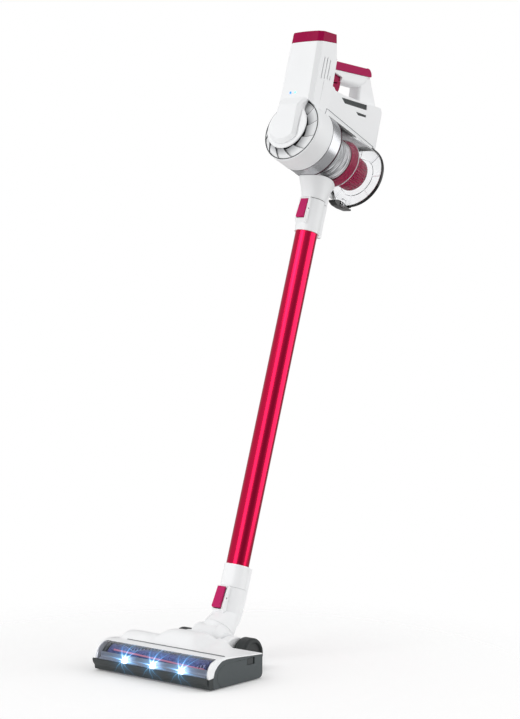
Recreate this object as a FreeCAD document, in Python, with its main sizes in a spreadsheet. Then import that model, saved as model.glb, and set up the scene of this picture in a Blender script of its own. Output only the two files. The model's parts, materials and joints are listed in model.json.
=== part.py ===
import FreeCAD, Part
import Sketcher
import math
import os
import re

Vec = FreeCAD.Vector
Rot = FreeCAD.Rotation
Place = FreeCAD.Placement
axisX, axisY, axisZ = Vec(1, 0, 0), Vec(0, 1, 0), Vec(0, 0, 1)

doc = FreeCAD.newDocument("stick_vacuum")
sheet = doc.addObject("Spreadsheet::Sheet", "Dims")

# driving dimensions in millimetres (angles in degrees); "up" is measured along the wand
driving = [
    ("wandLean", 18.3), ("wandBaseY", 167.8), ("wandBaseZ", 36.5),
    ("gap", 0.3), ("running", 0.05),
    # wand
    ("tubeRadius", 18.8), ("tubeWall", 1.0), ("tubeLow", 108), ("tubeHigh", 713),
    ("collarRadius", 21), ("collarLow", 87), ("collarHigh", 754), ("spigotRadius", 17),
    ("spigotWall", 1.6), ("spigotLength", 38), ("ribRear", 29.5), ("ribHalf", 8.5),
    ("buttonHalf", 8), ("buttonPinRadius", 1.2), ("ductRadius", 14.5),
    # cyclone, measured from a point on its axis above the wand
    ("drumUp", 842), ("drumTilt", 3.6), ("discRadius", 44.8), ("discFront", -103),
    ("shellRadius", 56), ("shellFront", -93), ("shellRear", -51), ("bandRear", -25),
    ("cupRadius", 56), ("cupRear", 96), ("rimRadius", 57.5), ("rimRear", 104),
    ("meshRadius", 38), ("meshRear", 35), ("skirtRadius", 44.5), ("coneRadius", 32),
    ("coneFront", 50), ("coneRear", 93), ("vaneCount", 13), ("doorRibs", 8),
    ("hingeY", 105.5), ("hingeZ", 60.5), ("latchY", 74), ("latchZ", -64.2),
    # hand unit
    ("columnLow", 884), ("columnHigh", 1040), ("frontLow", -101.9), ("frontHigh", -107.4),
    ("frontHalfLow", 30.5), ("frontHalfHigh", 25.8), ("sideHalfLow", 36.3), ("sideHalfHigh", 33.2),
    ("columnBend", 985), ("frontBend", -105.5), ("frontHalfBend", 27.4), ("sideHalfBend", 34.3),
    ("backLow", -45), ("backBend", -48), ("backHigh", -66), ("backHalf", 28), ("faceCrown", 3),
    ("gripHalf", 14.5), ("strutHalf", 12.5), ("trimHalf", 15.5), ("spineHalf", 26.5),
    ("bayRadius", 24), ("bayV", -76), ("motorRadius", 22), ("spindleRadius", 2), ("jackRadius", 2.75),
    ("cellRadius", 9.1), ("cellLength", 65), ("lampRadius", 1.6), ("screwRadius", 1.45),
    ("triggerHalf", 10), ("triggerV", -17), ("triggerU", 980.5), ("hingeRadius", 1.5),
    ("gripRound", 8), ("strutRound", 7), ("trimRound", 3),
    # floor head
    ("headHalf", 118), ("capThick", 4), ("headRear", 125), ("brushY", 26.5), ("brushZ", 22.3),
    ("coreRadius", 13.5), ("bristleRadius", 20.5), ("brushHalf", 103),
    ("pivotY", 140), ("pivotZ", 38), ("yokeRadius", 30.6), ("yokeHalf", 33),
    ("seamY", 160), ("seamZ", 56), ("seamRadius", 27), ("armInner", 34.4), ("armOuter", 53),
    ("wheelY", 155), ("wheelRadius", 26), ("wheelInner", 54),
    ("axleRadius", 3), ("pinRadius", 5), ("motorY", 62), ("motorZ", 41.5),
    ("brushMotorRadius", 13), ("brushPulleyRadius", 9.6), ("motorPulleyRadius", 4), ("beltX", -109),
    ("motorShaftRadius", 1.6), ("seatRadius", 4),
]
for row, (alias, value) in enumerate(driving, 1):
    sheet.set("A%d" % row, alias)
    sheet.set("B%d" % row, str(value))
    sheet.setAlias("B%d" % row, alias)
doc.recompute()


def amount(text):
    """Value of a sum such as 'cupRadius - 2' or '0.5*tubeRadius', with names from the sheet."""
    total = 0.0
    for sign, first, second in re.findall(r"([+-]?)\s*([\w.]+)(?:\s*\*\s*([\w.]+))?", str(text)):
        product = 1.0
        for factor in (first, second):
            if factor:
                product *= float(factor) if factor[0].isdigit() else float(getattr(sheet, factor))
        total += -product if sign == "-" else product
    return total


def bind(thing, prop, text):
    """Ties a property to the sheet where its text names a dimension."""
    text = str(text)
    if re.search(r"[A-Za-z]", text):
        thing.setExpression(prop, re.sub(r"([A-Za-z]\w*)", r"Dims.\1", text))
    elif "." in prop or "[" in prop:
        return
    else:
        setattr(thing, prop, float(text))


def at(x=0, y=0, z=0, axis=axisZ, angle=0):
    return Place(Vec(amount(x), amount(y), amount(z)), Rot(axis, angle))


headFrame = at()
wandFrame = at(0, "wandBaseY", "wandBaseZ", axisX, -amount("wandLean"))
drumInWand = at(0, 0, "drumUp", axisX, -amount("drumTilt"))
drumFrame = wandFrame * drumInWand
parts = []


def subpart(thing, frame):
    """Sets a finished sub-part in its frame and lists it for export under its label."""
    thing.Placement = frame
    parts.append(thing)
    return thing


# sketches and features

def body(name):
    return doc.addObject("PartDesign::Body", name)


def sketchOn(owner, plane, offset=0):
    sketch = owner.newObject("Sketcher::SketchObject", owner.Name + "Sketch")
    origin = [part for part in owner.Origin.OriginFeatures if part.Role == plane][0]
    sketch.AttachmentSupport = [(origin, "")]
    sketch.MapMode = "FlatFace"
    sketch.AttachmentOffset = at(0, 0, offset)
    return sketch


def pin(sketch, geometry, end, point):
    """Holds one end of a sketch edge at a point given as two sheet texts."""
    for kind, text in zip(("DistanceX", "DistanceY"), point):
        size = amount(text)
        number = sketch.addConstraint(Sketcher.Constraint(kind, -1, 1, geometry, end, size))
        bind(sketch, "Constraints[%d]" % number, text)


def outline(sketch, points):
    """Closed outline; a point with four numbers ends an arc that passes through its last two."""
    corners = [Vec(amount(point[0]), amount(point[1]), 0) for point in points]
    starts, ends = [], []
    for number, point in enumerate(points):
        begin, finish = corners[number - 1], corners[number]
        if len(point) == 4:
            middle = Vec(amount(point[2]), amount(point[3]), 0)
            edge = sketch.addGeometry(Part.Arc(begin, middle, finish), False)
            turned = (sketch.getPoint(edge, 1) - begin).Length > 1e-6
        else:
            edge = sketch.addGeometry(Part.LineSegment(begin, finish), False)
            turned = False
        starts.append((edge, 2 if turned else 1))
        ends.append((edge, 1 if turned else 2))
    for number, point in enumerate(points):
        following = starts[(number + 1) % len(points)]
        sketch.addConstraint(Sketcher.Constraint("Coincident", *ends[number], *following))
        pin(sketch, ends[number][0], ends[number][1], point)


def circle(sketch, radius, x=0, y=0):
    centre = Vec(amount(x), amount(y), 0)
    ring = sketch.addGeometry(Part.Circle(centre, axisZ, amount(radius)), False)
    number = sketch.addConstraint(Sketcher.Constraint("Radius", ring, amount(radius)))
    bind(sketch, "Constraints[%d]" % number, radius)
    pin(sketch, ring, 3, (x, y))


def pad(owner, sketch, length, middle=False, back=False):
    feature = owner.newObject("PartDesign::Pad", owner.Name + "Pad")
    feature.Profile = sketch
    bind(feature, "Length", length)
    feature.Midplane = middle
    feature.Reversed = back
    return feature


def prism(name, plane, points, length, offset=0, middle=True, back=False):
    piece = body(name)
    sketch = sketchOn(piece, plane, offset)
    outline(sketch, points)
    pad(piece, sketch, length, middle, back)
    return piece


def turned(name, axis, profile):
    """Body of revolution about its own X, Y or Z axis from (radius, along) points."""
    piece = body(name)
    line = "H_Axis" if axis == "X" else "V_Axis"
    sketch = sketchOn(piece, "XZ_Plane" if axis == "Z" else "XY_Plane")
    outline(sketch, [(point[1], point[0]) if axis == "X" else point for point in profile])
    feature = piece.newObject("PartDesign::Revolution", name + "Turn")
    feature.Profile = sketch
    feature.ReferenceAxis = (sketch, [line])
    feature.Angle = 360
    return piece


def tube(outer, inner, low, high):
    """Profile of a plain ring for turned()."""
    return [(inner, low), (outer, low), (outer, high), (inner, high)]


def rounded(owner, radius, chosen):
    """Fillet on the edges of a body that chosen(middle, direction) accepts."""
    doc.recompute()
    base = owner.Tip
    names = []
    for number, edge in enumerate(base.Shape.Edges, 1):
        middle = edge.valueAt(0.5 * (edge.FirstParameter + edge.LastParameter))
        direction = edge.tangentAt(0.5 * (edge.FirstParameter + edge.LastParameter))
        if chosen(middle, direction):
            names.append("Edge%d" % number)
    if not names:
        raise RuntimeError("no edge of %s to round" % owner.Name)
    feature = owner.newObject("PartDesign::Fillet", owner.Name + "Fillet")
    feature.Base = (base, names)
    bind(feature, "Radius", radius)
    doc.recompute()
    return owner


# primitives and booleans

def box(name, x, y, z):
    """Box between pairs of sheet texts along X, Y and Z."""
    piece = doc.addObject("Part::Box", name)
    for prop, (low, high) in zip(("Length", "Width", "Height"), (x, y, z)):
        named = isinstance(low, str) or isinstance(high, str)
        bind(piece, prop, "%s-(%s)" % (high, low) if named else high - low)
    piece.Placement = at(x[0], y[0], z[0])
    return piece


def cylinder(name, radius, length, place):
    piece = doc.addObject("Part::Cylinder", name)
    bind(piece, "Radius", radius)
    bind(piece, "Height", length)
    piece.Placement = place
    return piece


def along(x, y, z, axis):
    """Placement whose Z axis points along X, Y or Z."""
    turn = {"X": (axisY, 90), "Y": (axisX, -90), "Z": (axisZ, 0)}[axis]
    return at(x, y, z, *turn)


def fuse(name, pieces):
    result = doc.addObject("Part::MultiFuse", name)
    result.Shapes = pieces
    result.Refine = True
    return result


def common(name, pieces):
    result = doc.addObject("Part::MultiCommon", name)
    result.Shapes = pieces
    return result


def cut(name, base, tools):
    result = doc.addObject("Part::Cut", name)
    result.Base = base
    result.Tool = tools[0] if len(tools) == 1 else fuse(name + "Tools", tools)
    return result


def group(name, pieces):
    result = doc.addObject("Part::Compound", name)
    result.Links = pieces
    return result


def shaped(name, shape):
    """Feature whose shape comes from Part's own functions."""
    piece = doc.addObject("Part::Feature", name)
    piece.Shape = shape
    return piece


def ringWire(place, radius, radiusDepth=None):
    """Circle, or an ellipse with its second radius along local Y, in a placement's XY plane."""
    if radiusDepth is None or abs(radiusDepth - radius) < 1e-6:
        curve = Part.Circle(Vec(), axisZ, radius)
    elif radius > radiusDepth:
        curve = Part.Ellipse(Vec(radius, 0, 0), Vec(0, radiusDepth, 0), Vec())
    else:
        curve = Part.Ellipse(Vec(0, radiusDepth, 0), Vec(-radius, 0, 0), Vec())
    wire = Part.Wire([curve.toShape()])
    wire.Placement = place
    return wire


# hand unit, upright in the wand's frame: x sideways, y rearward, z up the wand

def columnSolid(name):
    """Tapering column: crowned front face, chamfered front corners, sloping back."""
    piece = body(name)
    levels = (
        ("columnLow", "frontLow", "frontHalfLow", "sideHalfLow", "backLow"),
        ("columnBend", "frontBend", "frontHalfBend", "sideHalfBend", "backBend"),
        ("columnHigh", "frontHigh", "frontHalfHigh", "sideHalfHigh", "backHigh"),
    )
    sketches = []
    for level, front, frontHalf, sideHalf, back in levels:
        sketch = sketchOn(piece, "XY_Plane", level)
        outline(sketch, [
            ("-" + frontHalf, front),
            (frontHalf, front, 0, front + "-faceCrown"),
            (sideHalf, front + "+7"),
            (sideHalf, back + "-6"),
            ("backHalf", back),
            ("-backHalf", back),
            ("-" + sideHalf, back + "-6"),
            ("-" + sideHalf, front + "+7"),
        ])
        sketches.append(sketch)
    loft = piece.newObject("PartDesign::AdditiveLoft", name + "Loft")
    loft.Profile = sketches[0]
    loft.Sections = sketches[1:]
    loft.Ruled = True
    return piece


def capBand(name, low, high):
    """Slanting slab between the cap's lower seam and its top, or beyond by the given rises."""
    return prism(name, "YZ_Plane", [
        (-125, "994.1+" + str(low)), (-45, "1019+" + str(low)),
        (-45, "1032.6+" + str(high)), (-125, "1013.8+" + str(high)),
    ], 90)


def blockWedge(name, inset=0):
    """Plan of the lower housing: narrows from the column to the rear."""
    return prism(name, "XY_Plane", [
        (36.2 - inset, -80), (35.6 - inset, -64), (24.8 - inset, 104), (21.5 - inset, 110.5),
        (-21.5 + inset, 110.5), (-24.8 + inset, 104), (-35.6 + inset, -64), (-36.2 + inset, -80),
    ], 90, offset=881, middle=False)


def blockProfile(name):
    """Side outline of the lower housing, with the trigger's recess at its front top."""
    return prism(name, "YZ_Plane", [
        (-78, 881), (-78, 940), (-47, 940), (-42, 936.5), (-16, 939), (5, 943.2), (60, 953.2), (92, 961),
        (98, 961.5), (106, 946, 103.5, 956.5), (110.7, 890.5), (98, 887.5), (-64, 885), (-66, 881),
    ], 80)


def sideRail():
    """Raised rail along the lower edge of the casing's sides."""
    strip = prism("railStrip", "YZ_Plane", [
        (-60, 884), (-57, 898), (-51, 897.4), (98, 889.2), (98, 885.8),
    ], 90)
    return common("rail", [strip, blockWedge("railPlan", -0.8)])


def gripAndStrut():
    grip = prism("gripBar", "YZ_Plane", [
        (-48, 976), (-9, 967.3), (40, 978.6), (66, 1006.9, 55.5, 987), (-30, 981.2),
    ], "2*gripHalf")
    side = amount("gripHalf")
    rounded(grip, "gripRound", lambda middle, way: (
        abs(abs(middle.x) - side) < 0.1 and middle.y > -20 and (middle.z < 984 or middle.y > 30)))
    strut = prism("strut", "YZ_Plane", [
        (44, 990), (46, 970), (52, 945), (97, 945), (98, 961.5), (96.5, 968.7), (68, 1007.2),
    ], "2*strutHalf")
    edge = amount("strutHalf")
    rounded(strut, "strutRound", lambda middle, way: (
        abs(abs(middle.x) - edge) < 0.1 and middle.y < 50 and middle.z > 950))
    return [grip, strut]


def lamp(name, side):
    """Indicator lamp let into the column's face."""
    return cylinder(name, "lampRadius", 3, along(side * 8, -105.4, 909, "Y"))


def drumPin(name, radius, half, y, z):
    """Cylinder along x through a point of the drum's own frame."""
    rod = cylinder(name, radius, 2 * half, along(-half, y, z, "X"))
    rod.Placement = drumInWand * rod.Placement
    return rod


def eyeRooms(side):
    """Pocket that one eye of the door's hinge turns in."""
    low, high = sorted((side * 3.9, side * 9.8))
    knuckle = cylinder("eyeRoom%d" % (side + 1), 4.2, high - low, along(low, "hingeY", "hingeZ", "X"))
    pocket = box("armRoom%d" % (side + 1), (low, high), (99.4, 106), (56, 61.6))
    for tool in (knuckle, pocket):
        tool.Placement = drumInWand * tool.Placement
    return [knuckle, pocket]


def drumTool(name, radius, front, rear):
    tool = cylinder(name, radius, amount(rear) - amount(front), along(0, front, 0, "Y"))
    tool.Placement = drumInWand * tool.Placement
    return tool


slotOutlines = {
    "slotLong": [(-21, 933), (-8.6, 927), (58, 941.6), (56.4, 950.5)],
    "slotShort": [(28, 927), (36, 923.5), (60, 929), (59.7, 933)],
}
ventLines = [(-86.5, 940, 979), (-78.5, 942, 981), (-70.5, 944, 979), (-64, 945.5, 953)]
screwPlaces = [(-48, 925), (95, 925), (-49.8, 968), (60, 984)]


def housingShells():
    """White casing in two halves that meet on the centre plane."""
    column = cut("columnBelowCap", columnSolid("column"), [capBand("capRoom", -0.3, 40)])
    block = common("block", [blockProfile("blockSide"), blockWedge("blockPlan")])
    lug = drumPin("hingeLug", 3.2, 3.9, "hingeY", "hingeZ")
    casing = fuse("casing", [column, block, sideRail(), lug] + gripAndStrut())
    tools = [
        drumTool("saddleFront", "shellRadius+0.1", -106, 92),
        drumTool("saddleRear", "rimRadius+0.8", 92, 120),
        cylinder("motorBay", "bayRadius", 110, along(0, "bayV", 910, "Z")),
        box("batteryBay", (-19.6, 19.6), (18, 92), (903, 943)),
        box("boardBay", (-21, 21), (-44, -8), (905, 935)),
        box("fingerNotch", (-20, 20), (-44, -8), (960, 976.5)),
        box("triggerSlot", (-10.4, 10.4), (-24, -3.6), (960, 983.6)),
        box("switchBay", (-5.2, 5.2), (-4, 4.6), (972.5, 983.6)),
        box("wireWay", (-5, 5), (-15, 25), (915, 925)),
        cylinder("jackBore", "jackRadius", 14, along(0, 98, 912, "Y")),
        cylinder("jackRoom", 5.2, 8, along(0, 91, 912, "Y")),
        cylinder("triggerPinRoom", "hingeRadius", 26, along(-13, "triggerV", "triggerU", "X")),
        drumPin("doorPinRoom", "hingeRadius", 12, "hingeY", "hingeZ"),
    ]
    for side in (-1, 1):
        tools.extend(eyeRooms(side))
        tools.append(lamp("lampRoom%d" % (side + 1), side))
        for number, (y, low, high) in enumerate(ventLines):
            name = "vent%d%d" % (side + 1, number)
            tools.append(box(name, sorted((side * 22, side * 40)), (y - 1, y + 1), (low, high)))
        for number, (y, z) in enumerate(screwPlaces):
            name = "screwHole%d%d" % (side + 1, number)
            tools.append(cylinder(name, "screwRadius+running", 9, along(side * 4.5 - 4.5, y, z, "X")))
    for slot in slotOutlines:
        for side in (-1, 1):
            room = prism(slot + "Room%d" % (side + 1), "YZ_Plane", slotOutlines[slot], 18, offset=side * 33)
            tools.append(room)
    hollow = cut("casingHollow", casing, tools)
    right = common("housing_right", [hollow, box("rightHalf", (0, 60), (-140, 140), (860, 1060))])
    left = common("housing_left", [hollow, box("leftHalf", (-60, 0), (-140, 140), (860, 1060))])
    subpart(right, wandFrame)
    subpart(left, wandFrame)


def noseCover():
    """Shield over the front disc, in line with the column's face."""
    plate = prism("nosePlate", "XZ_Plane", [
        (-24, 827), (-11, 818, -18.5, 821), (11, 818, 0, 815.6), (24, 827, 18.5, 821),
        (24, 884), (30, 897.8), (-30, 897.8), (-24, 884),
    ], 30, offset=100, middle=True)
    front = prism("noseSlant", "YZ_Plane", [
        (-106.5, 810), (-111, 812), (-113.5, 884), (-105.9, 897.9), (-99, 897.9), (-99.3, 858),
        (-103, 850), (-104.5, 816),
    ], 70)
    drum = drumTool("noseDisc", "discRadius+1", -103.3, -80)
    blank = common("noseBlank", [plate, front])
    subpart(cut("nose_cover", blank, [drum, columnSolid("noseColumn")]), wandFrame)


def topCap():
    shell = common("capBlank", [columnSolid("capColumn"), capBand("capSlab", 0, 0)])
    filterRoom = cylinder("filterRoom", "bayRadius-0.5", 20, along(0, "bayV", 992, "Z"))
    subpart(cut("top_cap", shell, [filterRoom]), wandFrame)


def handleTrim():
    """Coloured strip: down the column's back and along the top of the grip."""
    spine = prism("spine", "YZ_Plane", [
        (-57, 1012.6), (-54.6, 1013.3), (-50.2, 999.5), (-45, 992), (-45, 978), (-50, 978), (-52.5, 992),
    ], "2*spineHalf")
    trim = prism("trimBar", "YZ_Plane", [
        (-53, 992.4), (-50.2, 998), (-32, 996.5, -41, 995.8), (52.7, 1018.5), (68, 1008.2, 63.5, 1017),
        (-30, 981.6), (-50, 976.2),
    ], "2*trimHalf")
    side = amount("trimHalf")
    rounded(trim, "trimRound", lambda middle, way: (
        abs(abs(middle.x) - side) < 0.1 and middle.z > 1000 and middle.y < 50))
    casing = cut("trimSeat", fuse("trimBlank", [spine, trim]), [columnSolid("trimColumn")])
    carriers = [doc.getObject("gripBar"), doc.getObject("strut")]
    subpart(cut("handle_trim", casing, carriers), wandFrame)


def innerUnit():
    """Motor, filter, battery, board and switch inside the casing."""
    can = turned("motor_can", "Z", [
        (0, 912), ("motorRadius-4", 912), ("motorRadius", 916), ("motorRadius", 944),
        ("motorRadius-8", 947),
        (4, 947), (4, 950), ("spindleRadius", 950), ("spindleRadius", 962), (0, 962),
    ])
    subpart(can, wandFrame * at(0, "bayV", 0))
    rings = []
    for number, z in enumerate((918, 937)):
        rings.append(turned("mount%d" % number, "Z", tube("bayRadius", "motorRadius", z, z + 5)))
    subpart(group("motor_mounts", rings), wandFrame * at(0, "bayV", 0))
    wheel = turned("impeller", "Z", [
        ("spindleRadius+running", 951), ("motorRadius-1", 951), ("motorRadius-1", 953), (8, 962),
        (4.5, 964),
        ("spindleRadius+running", 964),
    ])
    subpart(wheel, wandFrame * at(0, "bayV", 0))
    subpart(turned("hepa_filter", "Z", [
        (9, 972), ("bayRadius-1", 972), ("bayRadius-1", 1000), (9, 1000),
    ]), wandFrame * at(0, "bayV", 0))
    cells = []
    for x in (-9.6, 9.6):
        for z in (912.8, 932.8):
            cells.append(cylinder("cell%d" % len(cells), "cellRadius", "cellLength", along(x, 22, z, "Y")))
    subpart(group("battery_pack", cells), wandFrame)
    subpart(box("control_board", (-19, 19), (-30, -28.4), (907, 933)), wandFrame * at(-19, -30, 907))
    jack = turned("jackSleeve", "Y", [
        ("jackRadius", 91.3), (4.8, 91.3), (4.8, 98.3), ("jackRadius", 98.3),
    ])
    pinCentre = cylinder("jackPin", 0.65, 7, along(0, 91, 0, "Y"))
    back = cylinder("jackBack", 4.8, 2, along(0, 89.5, 0, "Y"))
    subpart(fuse("charging_jack", [jack, pinCentre, back]), wandFrame * at(0, 0, 912))
    subpart(prism("micro_switch", "YZ_Plane", [
        (-3.3, 973), (4.2, 973), (4.2, 983), (-3.3, 983), (-3.3, 975.7), (-4.8, 975.4), (-4.8, 974.2),
        (-3.3, 974),
    ], 9), wandFrame)
    subpart(group("indicator_lights", [lamp("lamp%d" % side, side) for side in (-1, 1)]), wandFrame)


def sideGrilles():
    """Dark inserts at the bottom of the long side slots."""
    inserts = []
    for slot in slotOutlines:
        for side in (-1, 1):
            bar = prism(slot + "Bar%d" % (side + 1), "YZ_Plane", slotOutlines[slot], 16, offset=side * 32)
            inserts.append(bar)
    plan = blockWedge("grillePlan", 1.2)
    subpart(common("side_grilles", [fuse("grilleBars", inserts), plan]), wandFrame)


def triggerSet():
    """Finger blade hung from the grip, slit at its front, with a spring round its pin."""
    lever = prism("triggerLever", "YZ_Plane", [
        (-20, 976), (-20, 981.8), (-18.6, 983.2), (-15.4, 983.2), (-14, 981.8), (-14, 975.8), (-7.8, 975.6),
        (-4.7, 964, -5.6, 969.6), (-9.5, 945, -5.4, 954), (-16, 943.5), (-23.5, 948), (-26, 958.6),
        (-12.4, 963.2), (-12.4, 965.4), (-26.2, 961), (-26.4, 976),
    ], "2*triggerHalf")
    tools = [
        cylinder("triggerBore", "hingeRadius+running", 30, along(-15, "triggerV", "triggerU", "X")),
        cylinder("springRoom", 2.8, 7, along(-3.5, "triggerV", "triggerU", "X")),
    ]
    subpart(cut("trigger", lever, tools), wandFrame)
    spring = turned("trigger_spring", "X", tube(2.4, "hingeRadius+0.1", -3, 3))
    subpart(spring, wandFrame * at(0, "triggerV", "triggerU"))


def hingePins():
    """Steel pins of the trigger, the cup door and its latch."""
    triggerPin = cylinder("triggerPin", "hingeRadius", 26, along(-13, "triggerV", "triggerU", "X"))
    doorPin = drumPin("doorPin", "hingeRadius", 12, "hingeY", "hingeZ")
    latchPin = drumPin("latchPin", "hingeRadius", 10, "latchY", "latchZ")
    subpart(group("hinge_pins", [triggerPin, doorPin, latchPin]), wandFrame)


def housingScrews():
    screws = []
    for number, (y, z) in enumerate(screwPlaces):
        screws.append(cylinder("screw%d" % number, "screwRadius", 17, along(-8.5, y, z, "X")))
    subpart(group("housing_screws", screws), wandFrame)


# cyclone: x sideways, y rearward along the drum's axis

def cyclone():
    subpart(turned("front_disc", "Y", [
        (0, "discFront"), ("discRadius-2", "discFront"), ("discRadius", "discFront+2"),
        ("discRadius", "discFront+5"),
        (34, "discFront+5"), (34, "discFront+3"), (0, "discFront+3"),
    ]), drumFrame)
    subpart(turned("separator_shell", "Y", [
        ("shellRadius-0.5", "shellFront"), ("shellRadius", "shellFront+2"), ("shellRadius", "shellRear"),
        ("shellRadius-2.6", "shellRear"), ("shellRadius-2.6", "shellFront+1"),
        ("shellRadius-1.5", "shellFront"),
    ]), drumFrame)
    subpart(turned("chrome_band", "Y", [
        ("shellRadius-3", "shellRear"), ("shellRadius-1", "shellRear"), ("shellRadius-0.4", "shellRear+1"),
        ("shellRadius-0.4", "bandRear-1"), ("shellRadius-1", "bandRear"), ("meshRadius-3", "bandRear"),
        ("meshRadius-3", "bandRear-2"), ("shellRadius-3", "bandRear-2"),
    ]), drumFrame)
    seal = turned("cup_seal", "Y", tube("cupRadius-0.7", "cupRadius-4", "bandRear", "bandRear+1.4"))
    subpart(seal, drumFrame)
    swirlVanes()
    dustCup()
    mesh = turned("mesh_filter", "Y", tube("meshRadius", "meshRadius-1", "bandRear", "meshRear"))
    subpart(mesh, drumFrame)
    subpart(turned("filter_skirt", "Y", [
        ("meshRadius-4", "meshRear"), ("meshRadius+2", "meshRear"), ("skirtRadius-1.5", "meshRear+1"),
        ("skirtRadius", "meshRear+8"), ("skirtRadius-1.5", "meshRear+8"), ("meshRadius+1", "meshRear+3"),
        ("coneRadius-3", "meshRear+3"), ("coneRadius-3", "coneFront"), ("coneRadius-5", "coneFront"),
        ("coneRadius-5", "meshRear"),
    ]), drumFrame)
    subpart(turned("cyclone_cone", "Y", [
        ("coneRadius-5", "coneFront"), ("coneRadius", "coneFront"), ("coneRadius-3", "coneRear"),
        (0, "coneRear"),
        (0, "coneRear-2"), ("coneRadius-5.2", "coneRear-2"), ("coneRadius-2.5", "coneFront+2"),
        ("coneRadius-5", "coneFront+2"),
    ]), drumFrame)


def swirlVanes():
    """Curved blades between the front disc and the shell, on a dark back plate."""
    blades = body("vaneBlades")
    plate = sketchOn(blades, "XZ_Plane", 91)
    circle(plate, "shellRadius-2.8")
    circle(plate, "discRadius-12")
    pad(blades, plate, 2, back=False)
    blade = sketchOn(blades, "XZ_Plane", 92)
    outline(blade, [
        (36, 0), (45, 5.2, 41, 2), (53, 14, 49.6, 9.2),
        (51.6, 14.4), (44, 6.8, 48, 10.2), (36, 1.6, 40, 3.6),
    ])
    first = pad(blades, blade, 9.5, back=False)
    doc.recompute()
    turns = blades.newObject("PartDesign::PolarPattern", "vaneTurns")
    turns.Originals = [first]
    turns.Axis = ([part for part in blades.Origin.OriginFeatures if part.Role == "Y_Axis"][0], [""])
    turns.Angle = 360
    bind(turns, "Occurrences", "vaneCount")
    blades.Tip = turns
    envelope = turned("vaneEnvelope", "Y", [
        ("discRadius-12.5", -90), ("shellRadius-2.8", -90), ("shellRadius-2.8", "shellFront+1"),
        ("shellRadius-1.8", "shellFront-0.2"), ("discRadius+0.8", "discFront+1"),
        ("discRadius+0.3", "discFront+1"),
        ("discRadius+0.3", "discFront+5.2"), ("discRadius-12.5", "discFront+5.2"),
    ])
    subpart(common("swirl_vanes", [blades, envelope]), drumFrame)


def dustCup():
    """Clear cup with the inlet port in its floor and lugs for the latch's pin."""
    wall = turned("cupWall", "Y", [
        ("cupRadius-2.2", "bandRear+1.6"), ("cupRadius", "bandRear+1.6"), ("cupRadius", "cupRear"),
        ("cupRadius-2.2", "cupRear"),
    ])
    lugs = [box("lug%d" % side, sorted((side * 9.3, side * 7.3)), (69, 79), (-68, -53)) for side in (-1, 1)]
    solid = fuse("cupBlank", [wall] + lugs)
    tools = [
        cylinder("inletPort", 15, 20, along(0, 6, -66, "Z")),
        cylinder("lugBore", "hingeRadius", 30, along(-15, "latchY", "latchZ", "X")),
        cylinder("cupInside", "cupRadius-2.2", 125, along(0, -27, 0, "Y")),
    ]
    subpart(cut("dust_cup", solid, tools), drumFrame)


def cupDoor():
    glass = body("doorGlass")
    sketch = sketchOn(glass, "XZ_Plane", -101.5)
    circle(sketch, "rimRadius-3.2")
    pad(glass, sketch, 2, back=False)
    spoke = sketchOn(glass, "XZ_Plane", -99.5)
    outline(spoke, [(33, -0.9), ("rimRadius-3.5", -0.9), ("rimRadius-3.5", 0.9), (33, 0.9)])
    first = pad(glass, spoke, 3, back=False)
    ring = sketchOn(glass, "XZ_Plane", -99.5)
    circle(ring, 35)
    circle(ring, 33)
    pad(glass, ring, 4, back=False)
    doc.recompute()
    spokes = glass.newObject("PartDesign::PolarPattern", "doorSpokes")
    spokes.Originals = [first]
    spokes.Axis = ([part for part in glass.Origin.OriginFeatures if part.Role == "Y_Axis"][0], [""])
    spokes.Angle = 360
    bind(spokes, "Occurrences", "doorRibs")
    glass.Tip = spokes
    glass.Label = "cup_door"
    subpart(glass, drumFrame)
    rim = turned("rimRing", "Y", [
        ("rimRadius-3.2", 96.3), ("rimRadius-0.6", 96.3), ("rimRadius", 97.5), ("rimRadius", 102),
        ("rimRadius-2", "rimRear"),
        ("rimRadius-5", "rimRear"), ("rimRadius-5", 101.7), ("rimRadius-3.2", 101.7),
    ])
    arms = []
    for side in (-1, 1):
        low, high = sorted((side * 4.2, side * 9.5))
        arms.append(cylinder("eye%d" % side, 3.2, high - low, along(low, "hingeY", "hingeZ", "X")))
        arms.append(box("arm%d" % side, (low, high), (100, 104), (55, 61)))
    tab = prism("rimTab", "YZ_Plane", [
        (96.3, -55.5), (99, -55.5), (98.6, -59.6), (97.8, -60.4), (96.3, -60.4),
    ], 15)
    bores = [cylinder("eyeBore", "hingeRadius+running", 30, along(-15, "hingeY", "hingeZ", "X"))]
    subpart(cut("door_rim", fuse("rimBlank", [rim, tab] + arms), bores), drumFrame)


def doorLatch():
    """Lever under the cup whose hook holds the door's tab."""
    lever = prism("latchLever", "YZ_Plane", [
        (52, -64.5), (53.5, -67.6), (62, -70.2), (78, -69.6), (96, -66.4), (100.4, -65), (101, -63),
        (99.4, -61.4),
        (98.6, -62.6), (92, -62.6), (80, -60.2), (70, -59), (60, -60.6),
    ], 14)
    bore = cylinder("latchBore", "hingeRadius+running", 30, along(-15, "latchY", "latchZ", "X"))
    subpart(cut("door_latch", lever, [bore]), drumFrame)


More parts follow.
